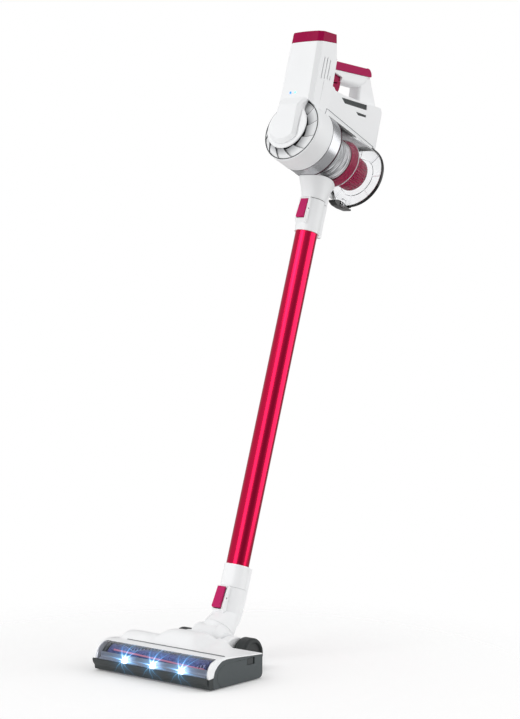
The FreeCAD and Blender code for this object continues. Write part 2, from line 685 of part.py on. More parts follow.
def inletNeck():
    """Spigot and flared neck that carry the air from the wand into the cup."""
    flare = [
        (755, 21, 21), (764, 21.6, 22.6), (775, 23.4, 26.8),
        (787, 26.2, 33), (800, 28.3, 37), (820, 30, 40),
    ]
    outer = Part.makeLoft([ringWire(at(0, 0, z), side, depth) for z, side, depth in flare], True)
    rib = prism("neckRib", "YZ_Plane", [
        (8, 755), ("ribRear", 755), (28.5, 775), (31, 800), (8, 800),
    ], "2*ribHalf")
    foot = along(0, 0, "755-spigotLength", "Z")
    spigot = cylinder("neckSpigot", "spigotRadius-running", "spigotLength+4", foot)
    blank = fuse("neckBlank", [shaped("neckFlare", outer), rib, spigot])
    tools = [
        drumTool("neckSaddle", "cupRadius", -60, 110),
        cylinder("neckDuct", "spigotRadius-spigotWall", 110, along(0, 0, 716, "Z")),
        cylinder("latchHole", 3, 12, along(0, -22, 745, "Y")),
    ]
    subpart(cut("inlet_neck", blank, tools), wandFrame)
    contacts = [cylinder("contact%d" % side, 1.2, 5, along(side * 3.5, 24.5, 750, "Z")) for side in (-1, 1)]
    subpart(group("inlet_contacts", contacts), wandFrame)


# wand: x sideways, y rearward, z along it

def ribbedRing(name, low, high, bore, boreLow, boreHigh):
    """Round collar with the conduit's rib down its back."""
    ring = cylinder(name + "Ring", "collarRadius", amount(high) - amount(low), along(0, 0, low, "Z"))
    rib = box(name + "Rib", ("-ribHalf", "ribHalf"), (12, "ribRear"), (low, high))
    room = cylinder(name + "Bore", bore, amount(boreHigh) - amount(boreLow), along(0, 0, boreLow, "Z"))
    return [ring, rib], room


def buttonHouse(name, points):
    return prism(name, "YZ_Plane", points, 22)


def upperCollar():
    blank, tubeRoom = ribbedRing("upper", 697, "collarHigh", "tubeRadius", 690, "tubeHigh")
    house = buttonHouse("upperHouse", [
        (-12, 709), (-21.5, 709), (-25.2, 714), (-22.6, "collarHigh"), (-12, "collarHigh"),
    ])
    tools = [
        tubeRoom,
        cylinder("upperSocket", "spigotRadius", 60, along(0, 0, 700, "Z")),
        box("upperRecess", ("-buttonHalf-0.4", "buttonHalf+0.4"), (-40, -16), (716.2, 751.4)),
        cylinder("upperPinBore", "buttonPinRadius", 24, along(-12, -20.6, 734, "X")),
        box("upperContactRoom", (-6.5, 6.5), (21.5, 27.5), (748, 760)),
    ]
    blankFuse = fuse("upperBlank", blank + [house])
    subpart(cut("upper_collar", blankFuse, tools), wandFrame)
    sidePin("upper_pin", -20.6, 734)


def sidePin(label, y, z):
    """Pin that a release button rocks on."""
    rod = cylinder(label, "buttonPinRadius", 22, at())
    subpart(rod, wandFrame * along(-11, y, z, "X"))


def releaseButton(label, points, y, z):
    blank = prism(label + "Blank", "YZ_Plane", points, "2*buttonHalf")
    side = amount("buttonHalf")
    rounded(blank, 1.2, lambda middle, way: abs(abs(middle.x) - side) < 0.1 and middle.y < -21)
    bore = cylinder(label + "Bore", "buttonPinRadius+running", 30, along(-15, y, z, "X"))
    subpart(cut(label, blank, [bore]), wandFrame)


def wand():
    pipe = body("wand_tube")
    sketch = sketchOn(pipe, "XY_Plane", "tubeLow")
    circle(sketch, "tubeRadius")
    circle(sketch, "tubeRadius-tubeWall")
    pad(pipe, sketch, "tubeHigh-tubeLow")
    subpart(pipe, wandFrame)
    subpart(box("wand_conduit", (-4, 4), (12.3, 16.6), (126, 700)), wandFrame * at(-4, 12.3, 126))
    upperCollar()
    releaseButton("upper_button", [
        (-19.2, 717.3), (-27.4, 717.3), (-28.4, 718.8), (-24, 751), (-19.2, 751),
    ], -20.6, 734)
    blank, tubeRoom = ribbedRing("lower", "collarLow", 124, "tubeRadius", "tubeLow", 130)
    foot = along(0, 0, "collarLow-spigotLength", "Z")
    spigot = cylinder("lowerSpigot", "spigotRadius-running", "spigotLength", foot)
    tools = [
        tubeRoom,
        cylinder("lowerDuct", "spigotRadius-spigotWall", 90, along(0, 0, 40, "Z")),
        cylinder("lowerLatchHole", 3, 12, along(0, -22, 76, "Y")),
    ]
    subpart(cut("lower_collar", fuse("lowerBlank", blank + [spigot]), tools), wandFrame)


def seamPlace(lift=0):
    """Placement of the swivel seam in head coordinates, its Z axis along the swivel's axis."""
    tilt = Rot(axisX, -45)
    return Place(Vec(0, amount("seamY"), amount("seamZ")) + tilt.multVec(Vec(0, 0, lift)), tilt)


def neckBody():
    """Connector between the wand and the head's swivel, with a long rib down its back."""
    inWand = wandFrame.inverse()
    rings = [
        ringWire(at(0, 0, 47), amount("collarRadius")),
        ringWire(inWand * seamPlace(0.4), amount("seamRadius")),
    ]
    flare = shaped("flare", Part.makeLoft(rings, True, True))
    top = cylinder("neckTop", "collarRadius", "collarLow-47.3", along(0, 0, 47, "Z"))
    rib = prism("lowerRib", "YZ_Plane", [
        (10, 86.7), ("ribRear", 86.7), (27, 40), (21, 27), (13, 24), (5, 30),
    ], "2*ribHalf")
    house = buttonHouse("lowerHouse", [(-12, 43), (-23, 43), (-28.8, 47.5), (-26, 86.7), (-12, 86.7)])
    duct = shaped("neckDuctLow", Part.makeLoft([
        ringWire(at(0, 0, 50), amount("ductRadius")),
        ringWire(inWand * seamPlace(-1), amount("ductRadius")),
    ], True, True))
    tools = [
        cylinder("neckSocket", "spigotRadius", 60, along(0, 0, 48, "Z")),
        box("lowerRecess", ("-buttonHalf-0.4", "buttonHalf+0.4"), (-44, -17.2), (47.7, 85)),
        cylinder("lowerPinBore", "buttonPinRadius", 24, along(-12, -22.5, 66.8, "X")),
        duct,
    ]
    subpart(cut("neck_body", fuse("neckParts", [flare, top, rib, house]), tools), wandFrame)
    sidePin("lower_pin", -22.5, 66.8)
    releaseButton("lower_button", [
        (-19.6, 49.3), (-33, 49.3), (-34.6, 51.3), (-29, 84.5), (-19.6, 84.5),
    ], -22.5, 66.8)


# floor head: x sideways, y rearward, z up from the floor

def pivotYoke():
    """Rounded barrel between the head's arms, with the round stub of the swivel."""
    barrel = turned("barrel", "X", [
        (0, "-yokeHalf"), ("yokeRadius-11", "-yokeHalf"),
        ("yokeRadius", "-yokeHalf+11", "yokeRadius-3.2", "-yokeHalf+3.2"),
        ("yokeRadius", "yokeHalf-11"), ("yokeRadius-11", "yokeHalf", "yokeRadius-3.2", "yokeHalf-3.2"),
        (0, "yokeHalf"),
    ])
    barrel.Placement = at(0, "pivotY", "pivotZ")
    stub = cylinder("stub", "seamRadius", 26, seamPlace(-26))
    tools = [cylinder("aboveSeam", 60, 30, seamPlace())]
    for side in (-1, 1):
        start = along(side * 31 - 3.5, "pivotY", "pivotZ", "X")
        tools.append(cylinder("yokeBore%d" % side, "pinRadius+running", 7, start))
    drilled = cut("yokeDrilled", fuse("yokeBlank", [barrel, stub]), tools)
    ducted = cut("yokeDucted", drilled, [cylinder("yokeDuct", "ductRadius", 30, seamPlace(-20))])
    throat = cylinder("yokeThroat", 14, 40, along(0, "pivotY-36", "pivotZ-4", "Y"))
    subpart(cut("pivot_yoke", ducted, [throat]), headFrame)


deckLine = [
    (-1, 18.5), (0.5, 27, -0.6, 22.5), (14, 43.6, 5.2, 38.3), (36.5, 47.3, 25, 46.6), (60, 44.6),
    (100, 41.6), ("headRear", 40.2),
]


def headOuter(name, inset=0):
    """Deck section swept across the head; an inset gives the hollow under it."""
    if not inset:
        return prism(name, "YZ_Plane", deckLine + [("headRear", 8), (3, 8), (-1, 15)], "2*headHalf")
    return prism(name, "YZ_Plane", [
        (1.2, 4), (2.4, 22), (16, 41.2, 7.5, 36.6), (36.5, 44.6, 26, 44), (60, 42), (100, 39),
        ("headRear-3", 37.8), ("headRear-3", 4),
    ], "2*headHalf-6")


def motorBulge(name, inset=0):
    radius = 16.4 - inset
    shape = turned(name, "X", [
        (0, -117 + inset), (6, -117 + inset), (radius, -103 + inset * 0.4, radius - 3.5, -109 + inset),
        (radius, -52), (0, -38 + inset, radius - 4.5, -42 + inset),
    ])
    shape.Placement = at(0, "motorY", "motorZ")
    return shape


def ductHump(name, inset=0):
    """Raised duct from behind the window to the pivot, wide at its front."""
    sections = [(42, 70, 47), (52, 54, 55), (64, 42, 64.5), (76, 38.5, 67.5), (96, 37, 65.5), (121, 36, 60)]
    low = 32
    rings = []
    for y, half, top in sections:
        high, wide = top - inset, half - inset
        shoulder = 0.45 * high + 0.55 * low + 4
        rightSide = [(0.72 * wide, high - 1.4), (wide, shoulder), (wide + 8, low)]
        leftSide = [(-x, z) for x, z in reversed(rightSide)]
        crown = Part.BSplineCurve()
        crown.interpolate([Vec(x, y, z) for x, z in leftSide + [(0, high)] + rightSide])
        floor = Part.LineSegment(Vec(wide + 8, y, low), Vec(-wide - 8, y, low))
        rings.append(Part.Wire([crown.toShape(), floor.toShape()]))
    return shaped(name, Part.makeLoft(rings, True, False))


def headTopShell():
    arms = []
    for side in (-1, 1):
        low, high = sorted((side * amount("armInner"), side * amount("armOuter")))
        arm = prism("arm%s" % ("Left" if side < 0 else "Right"), "YZ_Plane", [
            (104, 10), (104, 42), (122, 48), (141, 53, 133, 52.2), (165, 42, 155, 50),
            (172, 26, 171, 35), (166, 12), (150, 8), (120, 8),
        ], high - low, offset=low, middle=False)
        arms.append(arm)
    outer = fuse("topBlank", [headOuter("deck"), motorBulge("bulge"), ductHump("hump")] + arms)
    tools = [
        headOuter("deckHollow", 1), motorBulge("bulgeHollow", 2.4), ductHump("humpHollow", 2.4),
        prism("windowRoom", "YZ_Plane", [(-10, 17), (-10, 60), (22, 60), (22, 30), (12, 17)], 210),
        cylinder("pivotRoom", "yokeRadius+0.9", "2*armInner", along("-armInner", "pivotY", "pivotZ", "X")),
        box("tailRoom", ("-armInner", "armInner"), ("headRear-1", 200), (0, 90)),
        cylinder("pinRoom", "pinRadius", 120, along(-60, "pivotY", "pivotZ", "X")),
        cylinder("axleRoom", "axleRadius", 120, along(-60, "wheelY", "wheelRadius", "X")),
        cylinder("beltRoom", "motorPulleyRadius+5.4", 6.4, along("beltX-3.2", "motorY", "motorZ", "X")),
        box("beltWay", ("beltX-3.2", "beltX+3.2"), (47, 57), (40, 44.7)),
        cylinder("brushWayOut", 17.9, 20, along(110, "brushY", "brushZ", "X")),
        cylinder("brushSeat", "seatRadius+running", 7, along("-headHalf", "brushY", "brushZ", "X")),
        box("grooveRoom", (-84, 116), (37.2, 38.6), (46.4, 50)),
    ]
    subpart(cut("head_top_shell", outer, tools), headFrame)


def headBase():
    """Floor tray with the brush opening and the air passage to the pivot."""
    tray = prism("tray", "YZ_Plane", [
        (4.5, 2), ("headRear-0.5", 2), ("headRear-0.5", 7.8), (4.5, 7.8),
    ], "2*headHalf-1")
    ledge = box("ledge", (-104, 104), (47.6, 50), (7.8, 30))
    tools = [
        box("brushMouth", (-105, 105), (7, 47), (0, 12)),
        cylinder("trayGap", "yokeRadius+0.9", "2*armInner", along("-armInner", "pivotY", "pivotZ", "X")),
        cylinder("ledgeDuct", 11, 10, along(0, 45, 20, "Y")),
    ]
    subpart(cut("head_base", fuse("baseBlank", [tray, ledge]), tools), headFrame)


def headCovers():
    window = prism("brush_window", "YZ_Plane", [
        (-3.8, 19.6), (21.5, 45.6, 3.4, 37.6), (21.6, 44.2), (-2.2, 19.6, 4.6, 36.8),
    ], 209.4)
    subpart(window, headFrame)
    lip = prism("front_bumper", "YZ_Plane", [
        (-7, 20.8), (-7, 18), (-3.4, 11, -5.8, 14.2), (0.5, 2.6, -0.6, 7), (3.8, 2.2), (2.6, 7.8),
        (-1.2, 14), (-1.2, 18.3), (-4, 19.3), (-4, 20.8),
    ], 240)
    subpart(lip, headFrame)
    capLine = [
        (10, 1.5), (8.2, 10), (9.6, 20, 8.4, 15), (20, 36, 13, 29.4), (40, 43, 29, 41.6), (60, 42.2),
        (100, 39.4),
        ("headRear", 37.8), ("headRear", 10), (116, 1.5, 122.4, 4),
    ]
    left = prism("left_end_cap", "YZ_Plane", capLine, "capThick", offset="-headHalf-capThick", middle=False)
    subpart(left, headFrame)
    right = prism("rightCapPlate", "YZ_Plane", capLine, "capThick-gap", offset="headHalf+gap", middle=False)
    boss = cylinder("capBoss", 8, 7, along("headHalf-6", "brushY", "brushZ", "X"))
    tools = [
        cylinder("bossBore", "seatRadius+running", 6, along("headHalf-7", "brushY", "brushZ", "X")),
        box("latchRoom", ("headHalf-1", "headHalf+capThick+1"), (87.6, 105.8), (26.4, 37)),
    ]
    subpart(cut("right_end_cap", fuse("rightCapBlank", [right, boss]), tools), headFrame)
    catch = box("end_cap_latch", (0, 3.2), (0, 14.6), (0, 9.8))
    subpart(catch, headFrame * at("headHalf+gap", 88.2, 26.8))
    board = box("ledBoard", (-75, 75), (3, 4.1), (19, 27))
    lenses = []
    for number, x in enumerate((-60, 0, 60)):
        lens = turned("lens%d" % number, "Y", [(0, -0.6), (2.4, 0.4, 1.5, -0.3), (3, 3.1), (0, 3.1)])
        lens.Placement = at(x, 0, 24.5)
        lenses.append(lens)
    subpart(group("led_lights", [board] + lenses), headFrame)


def headInner():
    """Brush roll, its motor and belt, and the pins and axles."""
    core = turned("brush_core", "X", [
        (0, -117.5), ("seatRadius", -117.5), ("seatRadius", "beltX-3"),
        ("brushPulleyRadius+1.2", "beltX-3"),
        ("brushPulleyRadius", "beltX-2.4"), ("brushPulleyRadius", "beltX+2.4"),
        ("brushPulleyRadius+1.2", "beltX+3"), (5, "beltX+3"), (5, "-brushHalf"),
        ("coreRadius", "-brushHalf"), ("coreRadius", "brushHalf"),
        (5, "brushHalf"), (5, 111), ("seatRadius", 111), ("seatRadius", 116.5), (0, 116.5),
    ])
    subpart(core, headFrame * at(0, "brushY", "brushZ"))
    bristles()
    pulley = turned("motor_pulley", "X", [
        (0, "beltX-3.5"), ("motorPulleyRadius+1.2", "beltX-3.5"), ("motorPulleyRadius", "beltX-2.6"),
        ("motorPulleyRadius", "beltX+2.6"),
        ("motorPulleyRadius+1.2", "beltX+3.4"), ("motorShaftRadius", "beltX+3.4"),
        ("motorShaftRadius", -96.3), (0, -96.3),
    ])
    subpart(pulley, headFrame * at(0, "motorY", "motorZ"))
    subpart(turned("brush_motor", "X", [
        ("motorShaftRadius+running", -98), ("brushMotorRadius-2", -98), ("brushMotorRadius", -96),
        ("brushMotorRadius", -52), (6, -48), (0, -48), (0, -96), ("motorShaftRadius+running", -96),
    ]), headFrame * at(0, "motorY", "motorZ"))
    driveBelt()
    pins, axles = [], []
    for side in (-1, 1):
        start = along(side * 41.5 - 11, "pivotY", "pivotZ", "X")
        pins.append(cylinder("pivotPin%d" % side, "pinRadius", 22, start))
        start = along(side * 60.5 - 18, "wheelY", "wheelRadius", "X")
        axles.append(cylinder("axle%d" % side, "axleRadius", 36, start))
    subpart(group("pivot_pins", pins), headFrame)
    subpart(group("wheel_axles", axles), headFrame)
    for side, label in ((-1, "left_wheel"), (1, "right_wheel")):
        wheel = turned(label, "X", [
            ("axleRadius+running", 0), ("wheelRadius-3", 0),
            ("wheelRadius", 3.2, "wheelRadius-0.9", 0.9), ("wheelRadius", 20.8),
            ("wheelRadius-3", 24, "wheelRadius-0.9", 23.1), ("wheelRadius-6", 24), ("wheelRadius-8", 20),
            (7, 20), (6, 23), ("axleRadius+running", 23),
        ])
        inner = side * (amount("wheelInner") + 0.4)
        subpart(wheel, headFrame * at(inner, "wheelY", "wheelRadius", axisZ, 90 - 90 * side))


def bristles():
    """Two rows of bristle strips wound along the roll."""
    root, tip = amount("coreRadius"), amount("bristleRadius")
    half = amount("brushHalf") - 2
    pieces = []
    for start in (0, 180):
        rings = []
        steps = 12
        for step in range(steps + 1):
            x = -half + 2 * half * step / steps
            middle = math.radians(start + 50 * abs(x) / half)
            corners = []
            for radius, swing in ((root, -0.2), (tip, -0.16), (tip, 0.16), (root, 0.2)):
                corners.append(Vec(x, radius * math.cos(middle + swing), radius * math.sin(middle + swing)))
            rings.append(Part.makePolygon(corners + corners[:1]))
        strip = Part.makeLoft(rings, True, True)
        pieces.append(strip.cut(Part.makeCylinder(root, 2 * half + 2, Vec(-half - 1, 0, 0), axisX)))
    subpart(shaped("brush_bristles", Part.makeCompound(pieces)), headFrame * at(0, "brushY", "brushZ"))


def driveBelt():
    """Flat belt round both pulleys, with straight runs tangent to them."""
    span = Vec(0, amount("motorY") - amount("brushY"), amount("motorZ") - amount("brushZ"))
    loops = []
    for extra in (1.4, 0.3):
        big, small = amount("brushPulleyRadius") + extra, amount("motorPulleyRadius") + extra
        lean = math.acos((big - small) / span.Length)
        heading = math.atan2(span.z, span.y)
        ends = []
        for side in (1, -1):
            way = Vec(0, math.cos(heading + side * lean), math.sin(heading + side * lean))
            ends.append((way * big, span + way * small))
        back = Vec(0, -math.cos(heading), -math.sin(heading))
        loops.append(Part.Wire([
            Part.LineSegment(ends[0][0], ends[0][1]).toShape(),
            Part.Arc(ends[0][1], span - back * small, ends[1][1]).toShape(),
            Part.LineSegment(ends[1][1], ends[1][0]).toShape(),
            Part.Arc(ends[1][0], back * big, ends[0][0]).toShape(),
        ]))
    band = Part.Face(loops[0]).extrude(Vec(4, 0, 0)).cut(Part.Face(loops[1]).extrude(Vec(4, 0, 0)))
    subpart(shaped("drive_belt", band), headFrame * at("beltX-2", "brushY", "brushZ"))


housingShells()
noseCover()
topCap()
handleTrim()
innerUnit()
sideGrilles()
triggerSet()
hingePins()
housingScrews()
cyclone()
cupDoor()
doorLatch()
inletNeck()
wand()
neckBody()
pivotYoke()
headTopShell()
headBase()
headCovers()
headInner()
doc.recompute()

# origin under the middle of the whole part, on the floor
whole = FreeCAD.BoundBox()
for part in parts:
    whole.add(part.Shape.optimalBoundingBox(False, False))
shift = Vec(-whole.Center.x, -whole.Center.y, -whole.ZMin)
for part in parts:
    part.Placement = Place(shift, Rot()) * part.Placement
doc.recompute()
print("shift %.3f %.3f %.3f" % tuple(shift))
print("size %.1f %.1f %.1f" % (whole.XLength, whole.YLength, whole.ZLength))

for thing in doc.Objects:
    if "Invalid" in thing.State or "Error" in thing.State:
        raise RuntimeError("%s did not build: %s" % (thing.Name, thing.State))
os.makedirs("parts", exist_ok=True)
for part in parts:
    if part.Shape.isNull() or not part.Shape.isValid() or part.Shape.Volume < 1:
        raise RuntimeError("%s has no valid shape" % part.Label)
    part.Shape.exportStep("parts/%s.step" % part.Label)
print(len(parts), "parts")
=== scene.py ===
import json
import math

import bmesh
import bpy
from mathutils import Matrix, Vector


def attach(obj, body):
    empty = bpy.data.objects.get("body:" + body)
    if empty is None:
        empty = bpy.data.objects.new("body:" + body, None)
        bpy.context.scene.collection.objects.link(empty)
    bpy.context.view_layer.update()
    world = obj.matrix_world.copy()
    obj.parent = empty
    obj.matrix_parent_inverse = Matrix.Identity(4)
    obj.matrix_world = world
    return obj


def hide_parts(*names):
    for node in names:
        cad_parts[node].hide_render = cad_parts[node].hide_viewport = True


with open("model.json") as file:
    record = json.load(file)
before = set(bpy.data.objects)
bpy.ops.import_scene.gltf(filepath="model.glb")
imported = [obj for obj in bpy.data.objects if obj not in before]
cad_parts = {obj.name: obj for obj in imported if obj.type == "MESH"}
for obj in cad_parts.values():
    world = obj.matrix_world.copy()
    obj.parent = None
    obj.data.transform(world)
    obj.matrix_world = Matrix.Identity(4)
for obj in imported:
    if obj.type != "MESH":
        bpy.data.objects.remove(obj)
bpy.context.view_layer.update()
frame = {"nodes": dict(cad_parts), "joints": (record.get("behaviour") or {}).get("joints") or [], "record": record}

mm = 0.001
print("frame loaded:", len(frame["nodes"]), "nodes")

# places: x is sideways everywhere; the wand leans back, and the dust cup lies across its top

joints = {joint["name"]: joint for joint in frame["joints"]}
mounts = {mount["name"]: mount for mount in frame["record"]["mounts"]}
inletUp = 717      # how far the tool inlet lies up the wand's axis
drumUp = 842       # where the cup's axis crosses the wand's
drumTilt = 3.6     # degrees that the cup drops to the rear, against the wand's square
pivotBack = 140    # how far the head's pivot lies behind the head's front

wandUp = Vector(joints["cap_lift"]["axis"])
wandBack = Vector((0, wandUp.z, -wandUp.y))
wandPlace = Matrix((Vector((1, 0, 0)), wandBack, wandUp)).transposed().to_4x4()
wandPlace.translation = Vector(mounts["tool_inlet"]["pos_m"]) - wandUp * inletUp * mm
drumLift = Matrix.Translation((0, 0, drumUp * mm)) @ Matrix.Rotation(math.radians(-drumTilt), 4, "X")
drumPlace = wandPlace @ drumLift
headPlace = Matrix.Translation((0, joints["head_pitch"]["pos_m"][1] - pivotBack * mm, 0))


def shifted(place, x, y, z):
    return place @ Matrix.Translation((x * mm, y * mm, z * mm))


# a seat is a place and the body that rides there
columnSeat = (wandPlace, "hand_unit")
drumSeat = (drumPlace, "hand_unit")
doorSeat = (drumPlace, "cup_door")
wandSeat = (wandPlace, "wand")
headSeat = (headPlace, "floor_head")

# the head's three diodes, in millimetres: the glow painted on the window and the bumper is centred on the same
# places
lamps = {"apart": 60, "middle": 5.6, "up": 24.5}

# nodes of a finish


def toLinear(hexText, gain=1.0):
    shares = [int(hexText[start:start + 2], 16) / 255 for start in (0, 2, 4)]
    parts = [s / 12.92 if s <= 0.04045 else ((s + 0.055) / 1.055) ** 2.4 for s in shares]
    return tuple([min(part * gain, 1.0) for part in parts] + [1.0])


def addNode(tree, kind, settings=None, links=None):
    node = tree.nodes.new("ShaderNode" + kind)
    for name, value in (settings or {}).items():
        if isinstance(name, int) or name in node.inputs:
            node.inputs[name].default_value = value
        else:
            setattr(node, name, value)
    for name, (source, output) in (links or {}).items():
        tree.links.new(source.outputs[output], node.inputs[name])
    return node


def newFinish(name, settings):
    material = bpy.data.materials.new(name)
    material.use_nodes = True
    tree = material.node_tree
    shader = tree.nodes["Principled BSDF"]
    for socket, value in settings.items():
        shader.inputs[socket].default_value = value
    return material, tree, shader, (addNode(tree, "TexCoord"), "Object")


def raised(tree, shader, height, depth, strength=1.0):
    bump = addNode(tree, "Bump", {"Strength": strength, "Distance": depth * mm}, {"Height": height})
    tree.links.new(bump.outputs["Normal"], shader.inputs["Normal"])


def grained(tree, shader, place, size, detail, depth, strength=1.0):
    noise = addNode(tree, "TexNoise", {"Scale": 1 / (size * mm), "Detail": detail}, {"Vector": place})
    raised(tree, shader, (noise, "Fac"), depth, strength)


def drawnOut(tree, place, sizes):
    # the pattern's size along each axis, in millimetres; noise on it has a scale of 1
    scales = [1 / (size * mm) for size in sizes]
    return addNode(tree, "Mapping", {"Scale": scales}, {"Vector": place}), "Vector"


def tinted(tree, shader, share, dark, light, socket="Base Color"):
    tone = addNode(tree, "Mix", {"data_type": "RGBA", 6: dark, 7: light}, {0: share})
    tree.links.new(tone.outputs[2], shader.inputs[socket])


def mottled(tree, shader, place, colour, share, size):
    # large soft drifts of tone, as pigment and flow leave in a moulding
    drift = addNode(tree, "TexNoise", {"Scale": 1 / (size * mm), "Detail": 2.0}, {"Vector": place})
    tinted(tree, shader, (drift, "Fac"), toLinear(colour, 1 - share), toLinear(colour, 1 + share))


def mouldedAbs(name, colour, roughness, shine):
    # ABS, injection moulded in a polished tool: even gloss, with a long soft ripple in its reflections
    material, tree, shader, place = newFinish(name, {
        "Roughness": roughness, "IOR": 1.54, "Specular IOR Level": shine})
    mottled(tree, shader, place, colour, 0.012, 35)
    grained(tree, shader, place, 5, 1.0, 0.02)
    return material


def grainedPolypropylene(name, colour, roughness):
    # polypropylene from a spark-eroded tool: fine even grain that breaks up the highlights
    material, tree, shader, place = newFinish(name, {"Roughness": roughness, "IOR": 1.49})
    mottled(tree, shader, place, colour, 0.06, 12)
    grained(tree, shader, place, 0.7, 3.0, 0.06, 0.7)
    return material


def anodisedTube(name, colour):
    # aluminium tube, drawn, then dyed in the anodising bath: clean metal reflections in the dye's own colour
    material, tree, shader, place = newFinish(name, {
        "Metallic": 1.0, "Roughness": 0.2, "Base Color": toLinear(colour)})
    drawn = addNode(tree, "TexNoise", {"Scale": 1.0, "Detail": 2.0},
                    {"Vector": drawnOut(tree, place, (0.8, 0.8, 60))})
    raised(tree, shader, (drawn, "Fac"), 0.002)
    return material


def brushedChrome(name, colour, roughness):
    # brushed, then chrome plated: fine rings of scratches that draw the highlight out across them
    material, tree, shader, place = newFinish(name, {
        "Metallic": 1.0, "Roughness": roughness, "Base Color": toLinear(colour)})
    lines = addNode(tree, "TexNoise", {"Scale": 1.0, "Detail": 2.0},
                    {"Vector": drawnOut(tree, place, (50, 0.35, 50))})
    raised(tree, shader, (lines, "Fac"), 0.012)
    return material


def mouldedPolycarbonate(name, colour, index):
    # clear polycarbonate, moulded: the index starts at 1.586 and is lowered until the walls veil what they
    # cover as little as the real ones do
    material, tree, shader, place = newFinish(name, {
        "Roughness": 0.0, "IOR": index, "Transmission Weight": 1.0, "Base Color": toLinear(colour)})
    grained(tree, shader, place, 9, 1.0, 0.03)
    return material


def paintedRootShadeAbs(name, deep, pale, inner, outer):
    # white ABS blades with painted shade: the colour is painted grey at their roots, which lie deep in the ring
    # where shade falls, and pale at their tips
    material, tree, shader, place = newFinish(name, {"Roughness": 0.4, "IOR": 1.54, "Specular IOR Level": 0.4})
    apart = addNode(tree, "SeparateXYZ", {}, {0: place})
    flat = addNode(tree, "CombineXYZ", {}, {"X": (apart, "X"), "Y": (apart, "Z")})
    reach = addNode(tree, "VectorMath", {"operation": "LENGTH"}, {0: (flat, 0)})
    share = addNode(tree, "MapRange", {1: inner * mm, 2: outer * mm}, {0: (reach, "Value")})
    # painted shade: the base colour runs from grey at the inner radius to pale at the outer, by distance from the
    # drum's axis
    tinted(tree, shader, (share, 0), toLinear(deep), toLinear(pale))
    grained(tree, shader, place, 4, 1.0, 0.02)
    return material


# painted glow: one diode's light painted as emission onto the mouldings in front of it, which are no lamps: sizes
# in millimetres, levels as emission strength
star = {"coreSize": 2.3, "corePower": 2.0, "core": 3.0, "haloSize": 12, "haloPower": 1.4, "halo": 0.34,
        "long": (8, 0.3, 2.2, 10), "longLevel": 2.8, "short": (12, 1.1, 3.0, 6), "shortLevel": 1.4,
        "coolTone": "5AB4F0", "whiteTone": "F4FBFF"}


def paintedLampGlow(material, share):
    # painted glow of three bright diodes: each is painted on this surface as a cool halo with fine spokes
    tree = material.node_tree
    apart = addNode(tree, "SeparateXYZ", {}, {0: (addNode(tree, "TexCoord"), "Object")})
    centred = addNode(tree, "Math", {"operation": "SUBTRACT", 1: lamps["middle"] * mm}, {0: (apart, "X")})
    steps = addNode(tree, "Math", {"operation": "MULTIPLY", 1: 1 / (lamps["apart"] * mm)}, {0: (centred, 0)})
    nearest = addNode(tree, "Math", {"operation": "ROUND"}, {0: (steps, 0)})
    held = addNode(tree, "Clamp", {"Min": -1.0, "Max": 1.0}, {0: (nearest, 0)})
    shift = addNode(tree, "Math", {"operation": "MULTIPLY", 1: -lamps["apart"] * mm}, {0: (held, 0)})
    side = addNode(tree, "Math", {"operation": "ADD"}, {0: (centred, 0), 1: (shift, 0)})
    rise = addNode(tree, "Math", {"operation": "ADD", 1: -lamps["up"] * mm}, {0: (apart, "Z")})
    spot = addNode(tree, "CombineXYZ", {}, {"X": (side, 0), "Y": (rise, 0)})
    reach = (addNode(tree, "VectorMath", {"operation": "LENGTH"}, {0: (spot, 0)}), "Value")
    angle = addNode(tree, "Math", {"operation": "ARCTAN2"}, {0: (rise, 0), 1: (side, 0)})

    def fading(size, power, source):
        # bell or tail of light that falls to a third at its size
        part = addNode(tree, "Math", {"operation": "MULTIPLY", 1: 1 / (size * mm)}, {0: source})
        bent = addNode(tree, "Math", {"operation": "POWER", 1: power}, {0: (part, 0)})
        drop = addNode(tree, "Math", {"operation": "MULTIPLY", 1: -1.0}, {0: (bent, 0)})
        return addNode(tree, "Math", {"operation": "EXPONENT"}, {0: (drop, 0)}), 0

    def spokes(count, phase, width, length):
        turn = addNode(tree, "Math", {"operation": "MULTIPLY_ADD", 1: count / 2, 2: phase}, {0: (angle, 0)})
        wave = addNode(tree, "Math", {"operation": "SINE"}, {0: (turn, 0)})
        flat = addNode(tree, "Math", {"operation": "ABSOLUTE"}, {0: (wave, 0)})
        across = addNode(tree, "Math", {"operation": "MULTIPLY"}, {0: (flat, 0), 1: reach})
        ends = {0: fading(width, 2.0, (across, 0)), 1: fading(length, 1.0, reach)}
        return addNode(tree, "Math", {"operation": "MULTIPLY"}, ends), 0

    glow = addNode(tree, "Math", {"operation": "MULTIPLY", 1: star["core"] * share},
                   {0: fading(star["coreSize"], star["corePower"], reach)})
    for level, layer in ((star["halo"], fading(star["haloSize"], star["haloPower"], reach)),
                         (star["longLevel"], spokes(*star["long"])),
                         (star["shortLevel"], spokes(*star["short"]))):
        glow = addNode(tree, "Math", {"operation": "MULTIPLY_ADD", 1: level * share}, {0: layer, 2: (glow, 0)})
    whiteness = addNode(tree, "MapRange", {1: 0.4, 2: 2.2}, {0: (glow, 0)})
    shader = tree.nodes["Principled BSDF"]
    cool, white = toLinear(star["coolTone"]), toLinear(star["whiteTone"])
    tinted(tree, shader, (whiteness, 0), cool, white, "Emission Color")
    tree.links.new(glow.outputs[0], shader.inputs["Emission Strength"])
    return material


def fleece(name, dark, light):
    # nylon plush on the roll: short navy pile in uneven clumps
    material, tree, shader, place = newFinish(name, {"Roughness": 0.85, "Sheen Weight": 0.3})
    clumps = addNode(tree, "TexNoise", {"Scale": 1 / (3.5 * mm), "Detail": 4.0, "Roughness": 0.7},
                     {"Vector": place})
    spread = addNode(tree, "MapRange", {1: 0.38, 2: 0.66}, {0: (clumps, "Fac")})
    tinted(tree, shader, (spread, 0), toLinear(dark), toLinear(light))
    raised(tree, shader, (clumps, "Fac"), 1.2)
    return material


